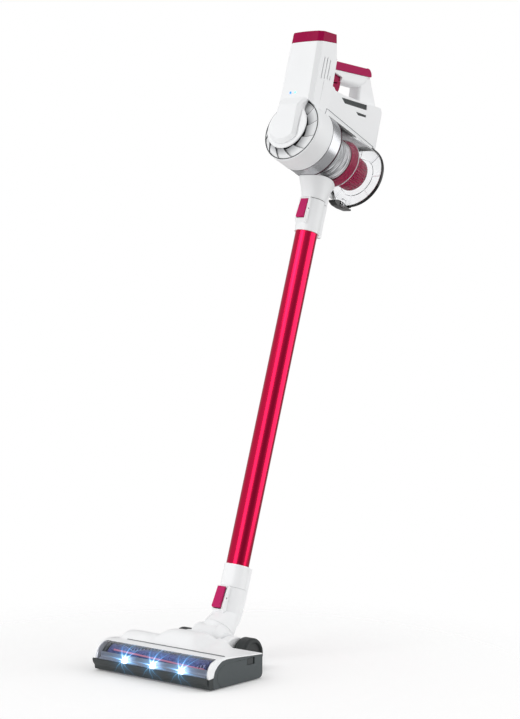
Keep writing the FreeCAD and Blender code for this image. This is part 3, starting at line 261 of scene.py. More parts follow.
def plainFinish(name, colour, roughness, metallic=0.0, grain=0.4, depth=0.02):
    # for what lies inside and hardly shows: the raw material with a light grain
    material, tree, shader, place = newFinish(name, {"Roughness": roughness, "Metallic": metallic})
    mottled(tree, shader, place, colour, 0.05, 8)
    grained(tree, shader, place, grain, 2.0, depth)
    return material


# the filter's mesh, drawn coarser than the real weave so that it shows, in millimetres
weave = {"radius": 38, "around": 2.6, "along": 4.4, "reflectionBandSizes": (60, 3, 60),
         "dark": "3C3E40", "bright": "F4F4F5"}


def wovenMesh(name):
    # stainless wire woven to a mesh: bright wires, dark openings, and painted reflections: soft rings round the
    # axis where the wire is painted duller, standing in for the room's light reflected in it
    material, tree, shader, place = newFinish(name, {"Metallic": 1.0, "Roughness": 0.3})
    apart = addNode(tree, "SeparateXYZ", {}, {0: place})
    angle = addNode(tree, "Math", {"operation": "ARCTAN2"}, {0: (apart, "X"), 1: (apart, "Z")})
    waves = {}
    for number, (source, rate) in enumerate((((angle, 0), weave["radius"] / weave["around"]),
                                             ((apart, "Y"), 1 / (weave["along"] * mm)))):
        turns = addNode(tree, "Math", {"operation": "MULTIPLY", 1: rate * math.tau}, {0: source})
        waves[number] = (addNode(tree, "Math", {"operation": "SINE"}, {0: (turns, 0)}), 0)
    both = addNode(tree, "Math", {"operation": "MAXIMUM"}, waves)
    # painted reflection: soft rings of brighter and duller wire
    reflectionBands = addNode(tree, "TexNoise", {"Scale": 1.0, "Detail": 2.0, "Roughness": 0.7},
                   {"Vector": drawnOut(tree, place, weave["reflectionBandSizes"])})
    paintedReflection = addNode(tree, "MapRange", {1: 0.38, 2: 0.56, 3: 0.2, 4: 1.0}, {0: (reflectionBands, "Fac")})
    wires = addNode(tree, "MapRange", {1: -0.7, 2: 0.4}, {0: (both, 0)})
    shade = addNode(tree, "Math", {"operation": "MULTIPLY"}, {0: (wires, 0), 1: (paintedReflection, 0)})
    tinted(tree, shader, (shade, 0), toLinear(weave["dark"]), toLinear(weave["bright"]))
    raised(tree, shader, (both, 0), 0.15)
    return material


def litLens(name, colour, strength):
    # acrylic lens over a diode: it glows in its own light, a little brighter where the diode's beam is uneven
    material, tree, shader, place = newFinish(name, {
        "Roughness": 0.15, "IOR": 1.49, "Emission Strength": strength, "Base Color": toLinear(colour)})
    beam = addNode(tree, "TexNoise", {"Scale": 1 / (6 * mm), "Detail": 1.0}, {"Vector": place})
    tinted(tree, shader, (beam, "Fac"), toLinear(colour, 0.9), toLinear(colour), "Emission Color")
    return material


finishes = {
    "white": mouldedAbs("white_abs_polished", "F5F6F7", 0.34, 0.4),
    "magenta": mouldedAbs("magenta_abs_satin", "9C0042", 0.4, 0.1),
    "magentaGloss": mouldedAbs("magenta_abs_polished", "98003E", 0.16, 0.1),
    "trim": mouldedAbs("magenta_abs_moulded", "AC0450", 0.4, 0.1),
    # the skirt lip's pale tone is a painted highlight
    "lip": plainFinish("pale_silicone_painted_highlight", "D9D6D8", 0.35),
    "button": mouldedAbs("magenta_abs_textured", "BE1F62", 0.5, 0.15),
    "tube": anodisedTube("magenta_anodised_aluminium", "E2204F"),
    "dark": grainedPolypropylene("charcoal_polypropylene_grained", "2B3031", 0.5),
    "cap": grainedPolypropylene("grey_polypropylene_grained", "434A4C", 0.55),
    "black": mouldedAbs("black_abs_polished", "050607", 0.1, 0.4),
    "clear": mouldedPolycarbonate("clear_polycarbonate_moulded", "FDFDFE", 1.3),
    "cupWall": mouldedPolycarbonate("clear_polycarbonate_polished", "F6F7F8", 1.2),
    # the blades' grey roots are painted shade
    "blade": paintedRootShadeAbs("white_abs_painted_root_shade", "B4B6B8", "F0F1F2", 40, 49),
    # the window and the bumper are no lamps; their diode glow is painted on as emission
    "window": paintedLampGlow(mouldedPolycarbonate("tinted_polycarbonate_painted_glow", "EEF0F6", 1.25), 1.0),
    "bumper": paintedLampGlow(grainedPolypropylene("black_polypropylene_painted_glow", "2B3031", 0.5), 0.5),
    "reflector": plainFinish("silver_polypropylene_painted", "A6ACB8", 0.42, 0.3),
    "plush": fleece("navy_nylon_plush", "222B66", "6875BE"),
    "bed": plainFinish("grey_nylon_moulded", "9DA3C8", 0.6),
    "pink": plainFinish("pink_silicone_moulded", "EE8CA4", 0.5),
    "gasket": plainFinish("maroon_elastomer_moulded", "4A0A26", 0.5),
    "chrome": brushedChrome("chrome_brushed", "C6C7CA", 0.27),
    "mesh": wovenMesh("stainless_wire_woven"),
    "steel": plainFinish("steel_turned", "B9BABD", 0.3, 1.0),
    "brass": plainFinish("brass_plated", "D9B25A", 0.25, 1.0),
    "board": plainFinish("fibreglass_solder_masked", "1B5E35", 0.4),
    "battery": plainFinish("vinyl_shrunk", "2B5FA8", 0.45),
    "filter": plainFinish("filter_paper_pleated", "E8E6DE", 0.9, grain=0.8, depth=0.2),
    "rubber": plainFinish("rubber_moulded", "141516", 0.7, grain=0.6, depth=0.05),
    "tyre": grainedPolypropylene("grey_elastomer_moulded", "1F2425", 0.5),
    "bristle": plainFinish("navy_nylon_cut", "1B1F47", 0.55, grain=0.5, depth=0.1),
    "lamp": litLens("blue_acrylic_lit", "0A7CF4", 1.3),
    # grey strip for dark joints; round the rail it is painted shade for the shadow in the gaps
    "seam": plainFinish("grey_strip_joint_and_shade", "74787A", 0.6),
    "lampPale": litLens("pale_acrylic_lit", "6CD4F2", 1.1),
    "diode": litLens("clear_acrylic_lit", "E6F4FF", 1.6),
}
print("finishes made:", len(finishes))

# building meshes; sizes are in millimetres until addPiece


def addPiece(name, shape, seat, finish, nodes=()):
    points, faces = shape
    mesh = bpy.data.meshes.new(name)
    builder = bmesh.new()
    corners = [builder.verts.new(Vector(point) * mm) for point in points]
    for face in faces:
        if len(set(face)) > 2:
            builder.faces.new([corners[number] for number in face])
    bmesh.ops.remove_doubles(builder, verts=builder.verts, dist=0.002 * mm)
    bmesh.ops.recalc_face_normals(builder, faces=builder.faces)
    builder.to_mesh(mesh)
    builder.free()
    mesh.shade_smooth()
    mesh.set_sharp_from_angle(angle=math.radians(38))
    mesh.materials.append(finishes[finish])
    piece = bpy.data.objects.new(name, mesh)
    bpy.context.scene.collection.objects.link(piece)
    piece.matrix_world, body = seat
    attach(piece, body)
    if nodes:
        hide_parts(*nodes)
    return piece


def eased(piece, width, segments=3, angle=30):
    sharp = piece.data.attributes.get("sharp_edge")
    if sharp and piece.name not in frame["nodes"]:
        piece.data.attributes.remove(sharp)
    bevel = piece.modifiers.new("easedEdges", "BEVEL")
    bevel.width = width * mm
    bevel.segments = segments
    bevel.limit_method = "ANGLE"
    bevel.angle_limit = math.radians(angle)
    bevel.use_clamp_overlap = True
    piece.modifiers.new("evenNormals", "WEIGHTED_NORMAL").keep_sharp = True


def dress(rows):
    # a node of the frame keeps its shape: flat faces are joined, and its edges are eased for the light
    for node, finish, edge in rows:
        piece = frame["nodes"][node]
        mesh = piece.data
        mesh.materials.clear()
        mesh.materials.append(finishes[finish])
        normals = mesh.attributes.get("custom_normal")
        if normals:
            mesh.attributes.remove(normals)
        mesh.shade_smooth()
        piece.modifiers.new("joined", "WELD").merge_threshold = 0.002 * mm
        flat = piece.modifiers.new("flatFaces", "DECIMATE")
        flat.decimate_type = "DISSOLVE"
        flat.angle_limit = math.radians(0.6)
        eased(piece, edge, 3, 25)


def rectangle(left, right, low, high):
    return [(left, low), (right, low), (right, high), (left, high)]


def softened(points, steps=5):
    # closed outline; a third number rounds that corner
    outline = []
    for number, point in enumerate(points):
        corner = Vector(point[:2])
        if len(point) < 3:
            outline.append(corner)
            continue
        before = Vector(points[number - 1][:2]) - corner
        after = Vector(points[(number + 1) % len(points)][:2]) - corner
        reach = min(point[2] / math.tan(before.angle(after) / 2), 0.49 * before.length, 0.49 * after.length)
        start, end = corner + before.normalized() * reach, corner + after.normalized() * reach
        for step in range(steps + 1):
            share = step / steps
            outline.append(start * (1 - share) ** 2 + corner * 2 * share * (1 - share) + end * share ** 2)
    return outline


def arcPoints(begin, middle, finish, steps):
    # circle through three points, from the first to the last, without the first
    ax, ay, bx, by, cx, cy = *begin, *middle, *finish
    scale = 2 * (ax * (by - cy) + bx * (cy - ay) + cx * (ay - by))
    a2, b2, c2 = ax * ax + ay * ay, bx * bx + by * by, cx * cx + cy * cy
    centre = Vector(((a2 * (by - cy) + b2 * (cy - ay) + c2 * (ay - by)) / scale,
                     (a2 * (cx - bx) + b2 * (ax - cx) + c2 * (bx - ax)) / scale))
    radius = (Vector(begin) - centre).length
    angles = [math.atan2(p[1] - centre.y, p[0] - centre.x) for p in (begin, middle, finish)]
    sweep = (angles[2] - angles[0]) % math.tau
    if (angles[1] - angles[0]) % math.tau > sweep:
        sweep -= math.tau
    spots = []
    for step in range(1, steps + 1):
        angle = angles[0] + sweep * step / steps
        spots.append(centre + radius * Vector((math.cos(angle), math.sin(angle))))
    return spots


def arcOutline(points, steps=8, closed=True):
    # a point with four numbers ends an arc that passes through its last two
    outline = [] if closed else [Vector(points[0][:2])]
    for number, point in enumerate(points):
        if number == 0 and not closed:
            continue
        if len(point) == 4:
            outline.extend(arcPoints(points[number - 1][:2], point[2:], point[:2], steps))
        else:
            outline.append(Vector(point))
    return outline


def spun(axis, radius, along, angle):
    side, up = radius * math.cos(angle), radius * math.sin(angle)
    return {"X": (along, side, up), "Y": (side, along, up), "Z": (side, up, along)}[axis]


def turned(name, profile, axis, seat, finish, nodes=(), steps=144):
    outline = softened(profile)
    count = len(outline)
    points, faces = [], []
    for step in range(steps):
        for radius, along in outline:
            points.append(spun(axis, radius, along, math.tau * step / steps))
    for step in range(steps):
        here, there = step * count, (step + 1) % steps * count
        for number in range(count):
            following = (number + 1) % count
            if outline[number][0] > 0 or outline[following][0] > 0:
                faces.append((here + number, here + following, there + following, there + number))
    return addPiece(name, (points, faces), seat, finish, nodes)


def quads(rows, count, closed=True):
    # faces between rows of "count" points each
    faces = []
    for row in range(rows - 1):
        for number in range(count if closed else count - 1):
            here, following = row * count, (number + 1) % count
            faces.append((here + number, here + following, here + count + following, here + count + number))
    return faces


def stacked(rings, caps=(True, True)):
    # closed rings of as many points each, with flat caps
    count = len(rings[0])
    points = [point for ring in rings for point in ring]
    faces = quads(len(rings), count)
    if caps[0]:
        faces.append(tuple(range(count)))
    if caps[1]:
        faces.append(tuple(range((len(rings) - 1) * count, len(rings) * count)))
    return points, faces


def hoops(profile, steps):
    # rings round the drum's axis, one for each radius and depth
    return [[spun("Y", radius, depth, math.tau * step / steps) for step in range(steps)]
            for radius, depth in profile]


def slab(name, outline, ends, seat, finish, nodes=()):
    # outline across the object, carried sideways from one end to the other
    rings = [[(depth, back, up) for back, up in outline] for depth in sorted(ends)]
    return addPiece(name, stacked(rings), seat, finish, nodes)


def joinedMesh(groups):
    # several lists of points and faces as one
    points, faces = [], []
    for morePoints, moreFaces in groups:
        start = len(points)
        points.extend(morePoints)
        faces.extend(tuple(number + start for number in face) for face in moreFaces)
    return points, faces


def through(knots, value):
    # smooth curve through (value, result...) rows
    for number in range(len(knots) - 1):
        if value <= knots[number + 1][0] or number == len(knots) - 2:
            break
    before, start = knots[max(number - 1, 0)], knots[number]
    end, after = knots[number + 1], knots[min(number + 2, len(knots) - 1)]
    span = end[0] - start[0]
    share = min(max((value - start[0]) / span, 0), 1)
    results = []
    for part in range(1, len(start)):
        slopeStart = (end[part] - before[part]) / max(end[0] - before[0], 1e-6) * span
        slopeEnd = (after[part] - start[part]) / max(after[0] - start[0], 1e-6) * span
        results.append((2 * share ** 3 - 3 * share ** 2 + 1) * start[part]
                       + (share ** 3 - 2 * share ** 2 + share) * slopeStart
                       + (3 * share ** 2 - 2 * share ** 3) * end[part]
                       + (share ** 3 - share ** 2) * slopeEnd)
    return results if len(results) > 1 else results[0]


def halved(low, high, isLow):
    # the value at which a test stops holding
    for _ in range(40):
        middle = (low + high) / 2
        low, high = (middle, high) if isLow(middle) else (low, middle)
    return low


print("hand unit")
dress([
    ("housing_left", "white", 0.9), ("housing_right", "white", 0.9), ("top_cap", "magenta", 2.4),
    ("handle_trim", "trim", 0.7), ("side_grilles", "dark", 0.2), ("trigger", "magenta", 0.6),
    ("hinge_pins", "steel", 0.1), ("housing_screws", "steel", 0.1), ("trigger_spring", "steel", 0.1),
    ("micro_switch", "black", 0.1), ("motor_can", "steel", 0.2), ("motor_mounts", "rubber", 0.2),
    ("impeller", "dark", 0.2), ("hepa_filter", "filter", 0.3), ("battery_pack", "battery", 0.3),
    ("control_board", "board", 0.05), ("charging_jack", "black", 0.1), ("inlet_contacts", "brass", 0.1),
    ("cup_seal", "rubber", 0.1)])

# the casing's side stands out by "face" at its front end and loses "taper" for each millimetre rearward
rail = {"route": [(-58.6, 885.5), (-57.2, 897.4), (-50.8, 897.6), (98, 889.5)], "halfWidth": 0.3,
        "face": 36.55, "frontEnd": -64, "taper": 10.8 / 168, "sunk": 0.9, "proud": 0.45}


def railJointShade():
    # joints round the raised rail on the casing's sides, drawn as a grey strip: painted shade for the shadow in
    # the gaps
    groups = []
    for side in (-1, 1):
        for start, end in zip(rail["route"], rail["route"][1:]):
            way = (Vector(end) - Vector(start)).normalized() * rail["halfWidth"]
            across = Vector((-way.y, way.x))
            rings = []
            for spot, shift in ((start, -1), (end, 1)):
                face = rail["face"] - (spot[0] - rail["frontEnd"]) * rail["taper"]
                middle = Vector(spot) + way * shift
                rings.append([(side * (face + out), middle.x + across.x * turn, middle.y + across.y * turn)
                              for out, turn in rectangle(-rail["sunk"], rail["proud"], -1, 1)])
            groups.append(stacked(rings))
    addPiece("railJointShade", joinedMesh(groups), columnSeat, "seam")


indicator = {"rows": [("Left", -7.6, "lamp", ["indicator_lights"]), ("Right", 2.2, "lampPale", ())],
             "back": -105.9, "up": 909,
             "profile": [(0, 0), (1.5, 0.05), (2.4, 0.35), (1.9, 0.45), (1.9, 2.6), (0, 2.6)]}


def indicatorLamps():
    for label, x, finish, nodes in indicator["rows"]:
        seat = (shifted(wandPlace, x, indicator["back"], indicator["up"]), "hand_unit")
        turned("indicatorLamp" + label, indicator["profile"], "Y", seat, finish, nodes, 48)


# half outlines of the shield's rim and of its flat, and how far forward the flat lies at each height
nose = {
    "top": 897.8,
    "outer": [(30, 897.8), (25, 886, 5), (27.4, 829, 2.5), (21, 823), (13.8, 819), (6.6, 816.6), (0, 815.8)],
    "inner": [(24.4, 897.8), (19.2, 886.6, 5), (22, 832, 2), (17.2, 827.8), (11.4, 824.4), (5.6, 822.4),
              (0, 821.9)],
    "front": [(810, -112.5), (812, -117), (884, -114.5), (897.8, -106.8)],
    "bevel": 5.4, "crown": 0.7, "rear": -99, "mesh": 3, "columns": 10,
}


def noseFront(up):
    rows = nose["front"]
    number = min(sum(up > row[0] for row in rows[1:]), len(rows) - 2)
    (low, first), (high, last) = rows[number], rows[number + 1]
    return first + (last - first) * (up - low) / (high - low)


def noseShield():
    outer, inner = [softened(nose[rim] + [(0, nose["top"])], 6)[:-1] for rim in ("outer", "inner")]
    pairs = [(outer[0], inner[0])]
    for number in range(1, len(outer)):
        parts = max(int((outer[number] - outer[number - 1]).length / nose["mesh"]), 1)
        for step in range(1, parts + 1):
            pairs.append([rim[number - 1].lerp(rim[number], step / parts) for rim in (outer, inner)])
    points, columns = [], nose["columns"]
    for spot, flat in pairs:
        front = noseFront(flat.y)
        bevelled = min(noseFront(spot.y) + nose["bevel"], nose["rear"] - 1)
        line = [(-spot.x, nose["rear"], spot.y), (-spot.x, bevelled, spot.y)]
        for step in range(2 * columns + 1):
            share = step / columns - 1
            line.append((share * flat.x, front - nose["crown"] * (1 - share * share), flat.y))
        points.extend(line + [(spot.x, bevelled, spot.y), (spot.x, nose["rear"], spot.y)])
    faces = quads(len(pairs), 2 * columns + 5, False)
    faces.append(tuple(range(2 * columns + 5)))
    eased(addPiece("noseShield", (points, faces), columnSeat, "white", ["nose_cover"]), 0.4, 2, 24)


railJointShade()
indicatorLamps()
noseShield()

# cyclone and dust cup: y runs rearward along the drum's axis

print("cyclone")
drum = {"shellFront": -93, "shellRear": -51, "bandRear": -25, "cupRear": 96,
        "disc": [(0, -107.4), (38, -107.4), (39.8, -106.6, 1), (39.8, -104.2, 0.6), (36, -103), (30, -98.5),
                 (28, -101), (0, -101)]}


def cycloneRings():
    front, rear, band = drum["shellFront"], drum["shellRear"], drum["bandRear"]
    for name, finish, nodes, profile in (
            ("frontDisc", "white", ["front_disc"], drum["disc"]),
            ("separatorShell", "white", ["separator_shell"], [
                (54.3, front, 0.5), (56, front + 1.8, 1.6), (56, rear, 0.4), (53.4, rear),
                (53.4, front + 1.2, 0.8)]),
            ("chromeBand", "chrome", ["chrome_band"], [
                (53, rear + 0.1), (55.0, rear + 0.1, 0.2), (55.7, rear + 1, 0.6), (55.7, band - 2, 0.6),
                (55.0, band - 1, 0.2), (35, band - 1), (35, band - 3), (53, band - 3)]),
            ("bandGasket", "gasket", (), [
                (53, band - 1), (55.6, band - 1, 0.3), (55.6, band + 0.2, 0.3), (53, band + 0.2)]),
            ("shellSeam", "dark", (), rectangle(54.52, 56.12, rear - 0.6, rear + 0.4)),
            # a dark ring where the blades meet the shell's front lip: a joint, darkened as painted shadow under
            # the lip
            ("lipJointShadow", "dark", (), rectangle(52.9, 54.5, front - 0.15, front + 0.6))):
        turned(name, profile, "Y", drumSeat, finish, nodes)


# angles in degrees, but for the edge's, which is in radians; a blade lifts most at its root and its last edge
blades = {"count": 12, "first": 5.5, "sweep": 16, "sweepCentre": 0.3, "overlap": 0.1,
          "inner": 38.6, "width": 15.4, "base": -90.9, "rootRise": 5.6, "lift": 4.8, "tipLoss": 0.6,
          "bend": 1.2, "thin": 0.5, "thicker": 0.3, "across": 8, "along": 10,
          "edgeTurn": 0.012, "edgeProud": 0.12, "edgeDepth": 1.6,
          "plate": [(33, -90.2), (53.2, -90.2), (53.2, -88.9), (33, -88.9), (33, -90.2)]}


def swirlBlades():
    # each blade rises round the ring and overlaps the next one; the dark slot under its raised edge is painted
    # shade, a thin dark ribbon down that edge
    pitch = math.tau / blades["count"]
    sweep = math.radians(blades["sweep"])
    groups, edges = [], []
    for blade in range(blades["count"]):
        start = math.radians(blades["first"]) + blade * pitch
        rings = []
        for step in range(blades["along"] + 1):
            share = step / blades["along"]
            turn = start + pitch * ((1 + blades["overlap"]) * share - blades["overlap"])
            upper, under = [], []
            for slot in range(blades["across"] + 1):
                outward = slot / blades["across"]
                radius = blades["inner"] + blades["width"] * outward
                angle = turn + sweep * (outward - blades["sweepCentre"])
                lift = blades["lift"] * (1 - blades["tipLoss"] * outward) * share ** blades["bend"]
                depth = blades["base"] - lift - blades["rootRise"] * (1 - outward)
                upper.append(spun("Y", radius, depth, angle))
                under.append(spun("Y", radius, depth + blades["thin"] + blades["thicker"] * share, angle))
            rings.append(upper + under[::-1])
        groups.append(stacked(rings))
        # painted shade: a thin dark ribbon down the raised edge's side, where the slot's shadow falls
        lip = []
        for (x, top, z), low in zip(upper, under):
            radius, angle = math.hypot(x, z), math.atan2(z, x)
            face, foot = top - blades["edgeProud"], low[1] + blades["edgeDepth"]
            lip.append([spun("Y", radius, deep, angle + past)
                        for past, deep in rectangle(0, blades["edgeTurn"], face, foot)])
        edges.append(stacked(lip))
    plate = stacked(hoops(blades["plate"], 96), (False, False))
    addPiece("swirlBlades", joinedMesh(groups), drumSeat, "blade", ["swirl_vanes"])
    addPiece("bladeSlotShade", joinedMesh(edges), drumSeat, "dark")
    addPiece("swirlPlate", plate, drumSeat, "black")


cup = {
    "lug": rectangle(69, 79, -68, -53.5), "lugSides": (9.3, 7.3),
    "mesh": rectangle(37, weave["radius"], -25, 35),
    "skirt": [(38.1, 30), (39.4, 30, 0.3), (40.4, 33, 3), (43.4, 38.5, 5), (44.6, 42, 0.5), (43, 42, 0.4),
              (41, 38, 3), (38.4, 34.5), (29, 37.2), (29, 50), (27, 50), (27, 33), (38.1, 32)],
    "lip": [(41.6, 42.1), (44.7, 42.1, 0.3), (45, 43.6, 0.5), (41.6, 43.6)],
    "cone": [(50, 27), (50, 30.6), (51, 31.8), (70, 30.6), (90, 29.2), (92.4, 28), (93, 26.5), (93, 0.01)],
    "ribs": 40, "swell": 0.7, "ribbed": (50.5, 92),
}


def dustCup():
    rear, front = drum["cupRear"], drum["bandRear"] + 0.4
    wall = [(53.8, front, 0.3), (56, front, 0.5), (56, rear, 0.4), (53.8, rear, 0.4)]
    turned("dustCup", wall, "Y", drumSeat, "cupWall", ["dust_cup"], 192)
    lugs = [stacked([[(side * out, y, z) for y, z in cup["lug"]] for out in cup["lugSides"]])
            for side in (-1, 1)]
    eased(addPiece("latchLugs", joinedMesh(lugs), drumSeat, "clear"), 0.5)


def cupInside():
    turned("meshFilter", cup["mesh"], "Y", drumSeat, "mesh", ["mesh_filter"])
    turned("filterSkirt", cup["skirt"], "Y", drumSeat, "magentaGloss", ["filter_skirt"])
    # a silicone lip seal on the skirt's rear edge, made pale as a painted highlight standing in for the light
    # along that edge
    turned("skirtLipHighlight", cup["lip"], "Y", drumSeat, "lip")
    low, high = cup["ribbed"]
    steps = cup["ribs"] * 4
    rings = []
    for along, radius in cup["cone"]:
        swell = cup["swell"] if low < along < high else 0
        rings.append([spun("Y", radius + swell * math.cos(math.tau * step / 4), along, math.tau * step / steps)
                      for step in range(steps)])
    addPiece("cycloneCone", stacked(rings, (True, False)), drumSeat, "magentaGloss", ["cyclone_cone"])


door = {
    "pane": [(0.01, 101.5), (54.2, 101.5), (54.2, 99.5), (35, 99.5), (34.4, 96), (33.6, 96), (33, 99.5),
             (0.01, 99.5), (0.01, 101.5)],
    "spokes": 8, "spoke": rectangle(35, 53.8, -0.9, 0.9), "spokeDepths": (99.45, 96.4),
    "rim": [(54.3, 96.3, 0.3), (56.9, 96.3, 0.5), (57.5, 97.6, 1.2), (57.5, 101.4, 1.6), (55.4, 104, 1.6),
            (51, 104, 0.8), (50.8, 101.7, 0.2), (54.3, 101.7)],
    "pin": (105.5, 60.5), "eye": 3.1, "armFoot": [(100.2, 60.6), (100.2, 54.5), (103.8, 54.5)],
    "armSides": (4.3, 9.4), "tabSides": (-7.4, 7.4), "latchSides": (-6.9, 6.9),
    "tab": [(96.3, -55.5), (99, -55.5), (98.6, -59.6, 0.4), (97.8, -60.4, 0.4), (96.3, -60.4, 0.3)],
    "latch": [(52, -64.5, 1), (53.5, -67.6, 2), (62, -70.2, 4), (78, -69.6, 3), (96, -66.4, 3),
              (100.4, -65, 1), (101, -63, 0.5), (99.4, -61.4, 0.5), (98.6, -62.6, 0.5), (92, -62.6, 2),
              (80, -60.2, 3), (70, -59, 3), (60, -60.6, 3)],
}


def cupDoor():
    groups = [stacked(hoops(door["pane"], 144), (False, False))]
    for spoke in range(door["spokes"]):
        angle = math.tau * spoke / door["spokes"]
        way, across = Vector((math.cos(angle), math.sin(angle))), Vector((-math.sin(angle), math.cos(angle)))
        corners = [way * radius + across * side for radius, side in door["spoke"]]
        groups.append(stacked([[(c.x, depth, c.y) for c in corners] for depth in door["spokeDepths"]]))
    eased(addPiece("cupDoor", joinedMesh(groups), doorSeat, "clear", ["cup_door"]), 0.15, 2)
    turned("doorRim", door["rim"], "Y", doorSeat, "black", ["door_rim"], 192)
    turns = [math.radians(step * 12) for step in range(-8, 16)]
    back, up = door["pin"]
    eye = [(back + door["eye"] * math.cos(turn), up + door["eye"] * math.sin(turn)) for turn in turns]
    for side, label in ((-1, "Left"), (1, "Right")):
        ends = [side * end for end in door["armSides"]]
        eased(slab("hingeArm" + label, eye + door["armFoot"], ends, doorSeat, "black"), 0.4)
    eased(slab("rimTab", softened(door["tab"]), door["tabSides"], doorSeat, "black"), 0.3)
    latchSeat = (drumPlace, "door_latch")
    latch = slab("doorLatch", softened(door["latch"]), door["latchSides"], latchSeat, "black", ["door_latch"])
    eased(latch, 0.8, 3, 40)


cycloneRings()
swirlBlades()
dustCup()
cupInside()
cupDoor()

# the neck under the cup, and the wand

print("wand")

# the flare's rows are height, half width and half depth; the spigot's are radius and height
neck = {
    "cupRadius": 56.05, "sunk": 0.2, "foot": 755.5, "rows": 14, "steps": 96,
    "flare": [(755, 21, 21), (764, 21.6, 22.6), (775, 23.6, 28.4), (787, 26.6, 36), (800, 29.6, 42),
              (822, 31, 46)],
    "spigot": [(14.9, 716.2), (16.4, 716.2), (16.95, 717), (16.95, 754.9), (20.4, 754.9), (21, 755.5)],
    "duct": 15, "ductBack": 2,
    "rib": [(8, 755.2), (29.5, 755.2), (29, 768), (30, 784), (33, 800), (8, 800)], "ribHalf": 8.5,
}


def cupSurface(x, back):
    # height up the wand at which a line along it meets the cup's underside
    def isBelow(up):
        spot = drumLift.inverted() @ (Vector((x, back, up)) * mm) / mm
        return math.hypot(spot.x, spot.z) > neck["cupRadius"]
    return halved(740.0, drumUp, isBelow)


def inletNeck():
    columns = []
    for step in range(neck["steps"]):
        angle = math.tau * step / neck["steps"]
        cos, sin = math.cos(angle), math.sin(angle)

        def isBelow(up):
            side, depth = through(neck["flare"], up)
            return cupSurface(side * cos, depth * sin) > up

        top = halved(neck["flare"][0][0], neck["flare"][-1][0], isBelow)
        line = [(radius * cos, radius * sin, up) for radius, up in neck["spigot"]]
        for row in range(1, neck["rows"] + 1):
            up = neck["foot"] + (top - neck["foot"]) * row / neck["rows"]
            side, depth = through(neck["flare"], up)
            line.append((side * cos, depth * sin, up))
        side, depth = through(neck["flare"], top)
        for share in (0.12, 0.5, 1):
            x = side * cos * (1 - share) + neck["duct"] * cos * share
            back = depth * sin * (1 - share) + (neck["ductBack"] + neck["duct"] * sin) * share
            line.append((x, back, cupSurface(x, back) - neck["sunk"]))
        columns.append(line)
    half = neck["ribHalf"]
    rib = stacked([[(side, y, z) for y, z in neck["rib"]] for side in (-half, half)])
    flare = stacked(columns + columns[:1], (False, False))
    eased(addPiece("inletNeck", joinedMesh([flare, rib]), columnSeat, "white", ["inlet_neck"]), 0.5, 2, 40)


inletNeck()
turned("wandTube", [(17.8, 108), (18.8, 108, 0.2), (18.8, 713, 0.2), (17.8, 713)], "Z", wandSeat, "tube",
       ["wand_tube"], 160)
dress([
    ("upper_collar", "white", 0.5), ("lower_collar", "white", 0.5), ("upper_pin", "black", 0.1),
    ("lower_pin", "black", 0.1), ("wand_conduit", "dark", 0.2), ("upper_button", "button", 0.5),
    ("lower_button", "button", 0.5), ("neck_body", "white", 0.6), ("pivot_yoke", "white", 0.5)])

# floor head: y runs rearward from its front, z up from the floor

print("floor head")
dress([
    ("head_base", "dark", 0.3), ("front_bumper", "bumper", 0.3), ("left_end_cap", "cap", 0.6),
    ("right_end_cap", "cap", 0.6), ("end_cap_latch", "dark", 0.3), ("pivot_pins", "steel", 0.2),
    ("wheel_axles", "steel", 0.2), ("drive_belt", "rubber", 0.1), ("brush_motor", "steel", 0.3),
    ("motor_pulley", "dark", 0.1)])

# heights over the floor: "top", "shoulder" and "ramp" by distance back, "hump" with its half width first, and
# "bulge" the share of the ramp that shows at each place across
deck = {
    "half": 118, "window": (-115.5, 117.3), "neckHalf": 34.4, "rear": 125, "foot": 8,
    "front": [(-1, 18.5), (0.5, 27, -0.6, 22.5), (14, 43.6, 5.2, 38.3)],
    "top": [(14, 43.6), (25, 46.6), (36.5, 47.2), (60, 44.6), (100, 41.6), (125, 40.2)],
    "hump": [(30, 84, 41), (42, 70, 47), (52, 56, 55), (64, 46, 64), (76, 42, 67.2), (90, 40, 65.6),
             (108, 38, 60), (121, 37, 54)],
    "humpSpread": 1.12, "raisedFrom": 30, "raisedTo": 121, "raisedFoot": 26,
    "shoulder": [(56, 34), (70, 42.5), (84, 46.6), (100, 50), (122, 52.4)], "shoulderHalf": 62,
    "bulge": [(-117.5, 0.2), (-110, 0.72), (-104, 0.93), (-99, 1), (-52, 1), (-44, 0.97), (-38, 0.8)],
    "bulgeSides": (-117, -38), "rampFoot": 24,
    "ramp": [(21, 38), (38, 46.4), (44, 52), (50, 55.4), (58, 57.8), (64, 57.9), (72, 56), (80, 50), (88, 42),
             (100, 34)],
    "step": 0.8, "stepBack": 38.6, "stepFade": 30, "stepSides": (-86, 117),
    "backs": [16, 18.5, 21.5, 24, 27, 30, 33, 35.5, 37.1, 37.3, 38.5, 38.7, 41]
             + [43.5 + 2.5 * step for step in range(29)] + [116, 119, 122],
    "ear": [(104, 10), (104, 41), (122, 48), (141, 53, 133, 52.2), (165, 42, 155, 50), (172, 26, 171, 35),
            (166, 12), (150, 8), (120, 8)], "earSides": (34.4, 53),
}


def blendMax(first, second, reach):
    overlap = max(reach - abs(first - second), 0) / reach
    return max(first, second) + overlap ** 3 * reach / 6


def deckHeight(x, back):
    height = through(deck["top"], back)
    left, right = deck["bulgeSides"]
    if left < x < right:
        foot = deck["rampFoot"]
        height = blendMax(height, foot + (through(deck["ramp"], back) - foot) * through(deck["bulge"], x), 6)
    if back > deck["raisedFrom"]:
        foot, reach = deck["raisedFoot"], min(back, deck["raisedTo"])
        half, top = through(deck["hump"], reach)
        hump = foot + (top - foot) * math.exp(-(abs(x) / (half * deck["humpSpread"])) ** 6)
        shoulder = through(deck["shoulder"], reach) - foot
        shoulder = foot + shoulder * math.exp(-(abs(x) / deck["shoulderHalf"]) ** 8)
        height = blendMax(blendMax(height, shoulder, 8), hump, 8)
    left, right = deck["stepSides"]
    if back > deck["stepBack"] and left < x < right:
        height += deck["step"] * max(1 - (back - deck["stepBack"]) / deck["stepFade"], 0)
    return height


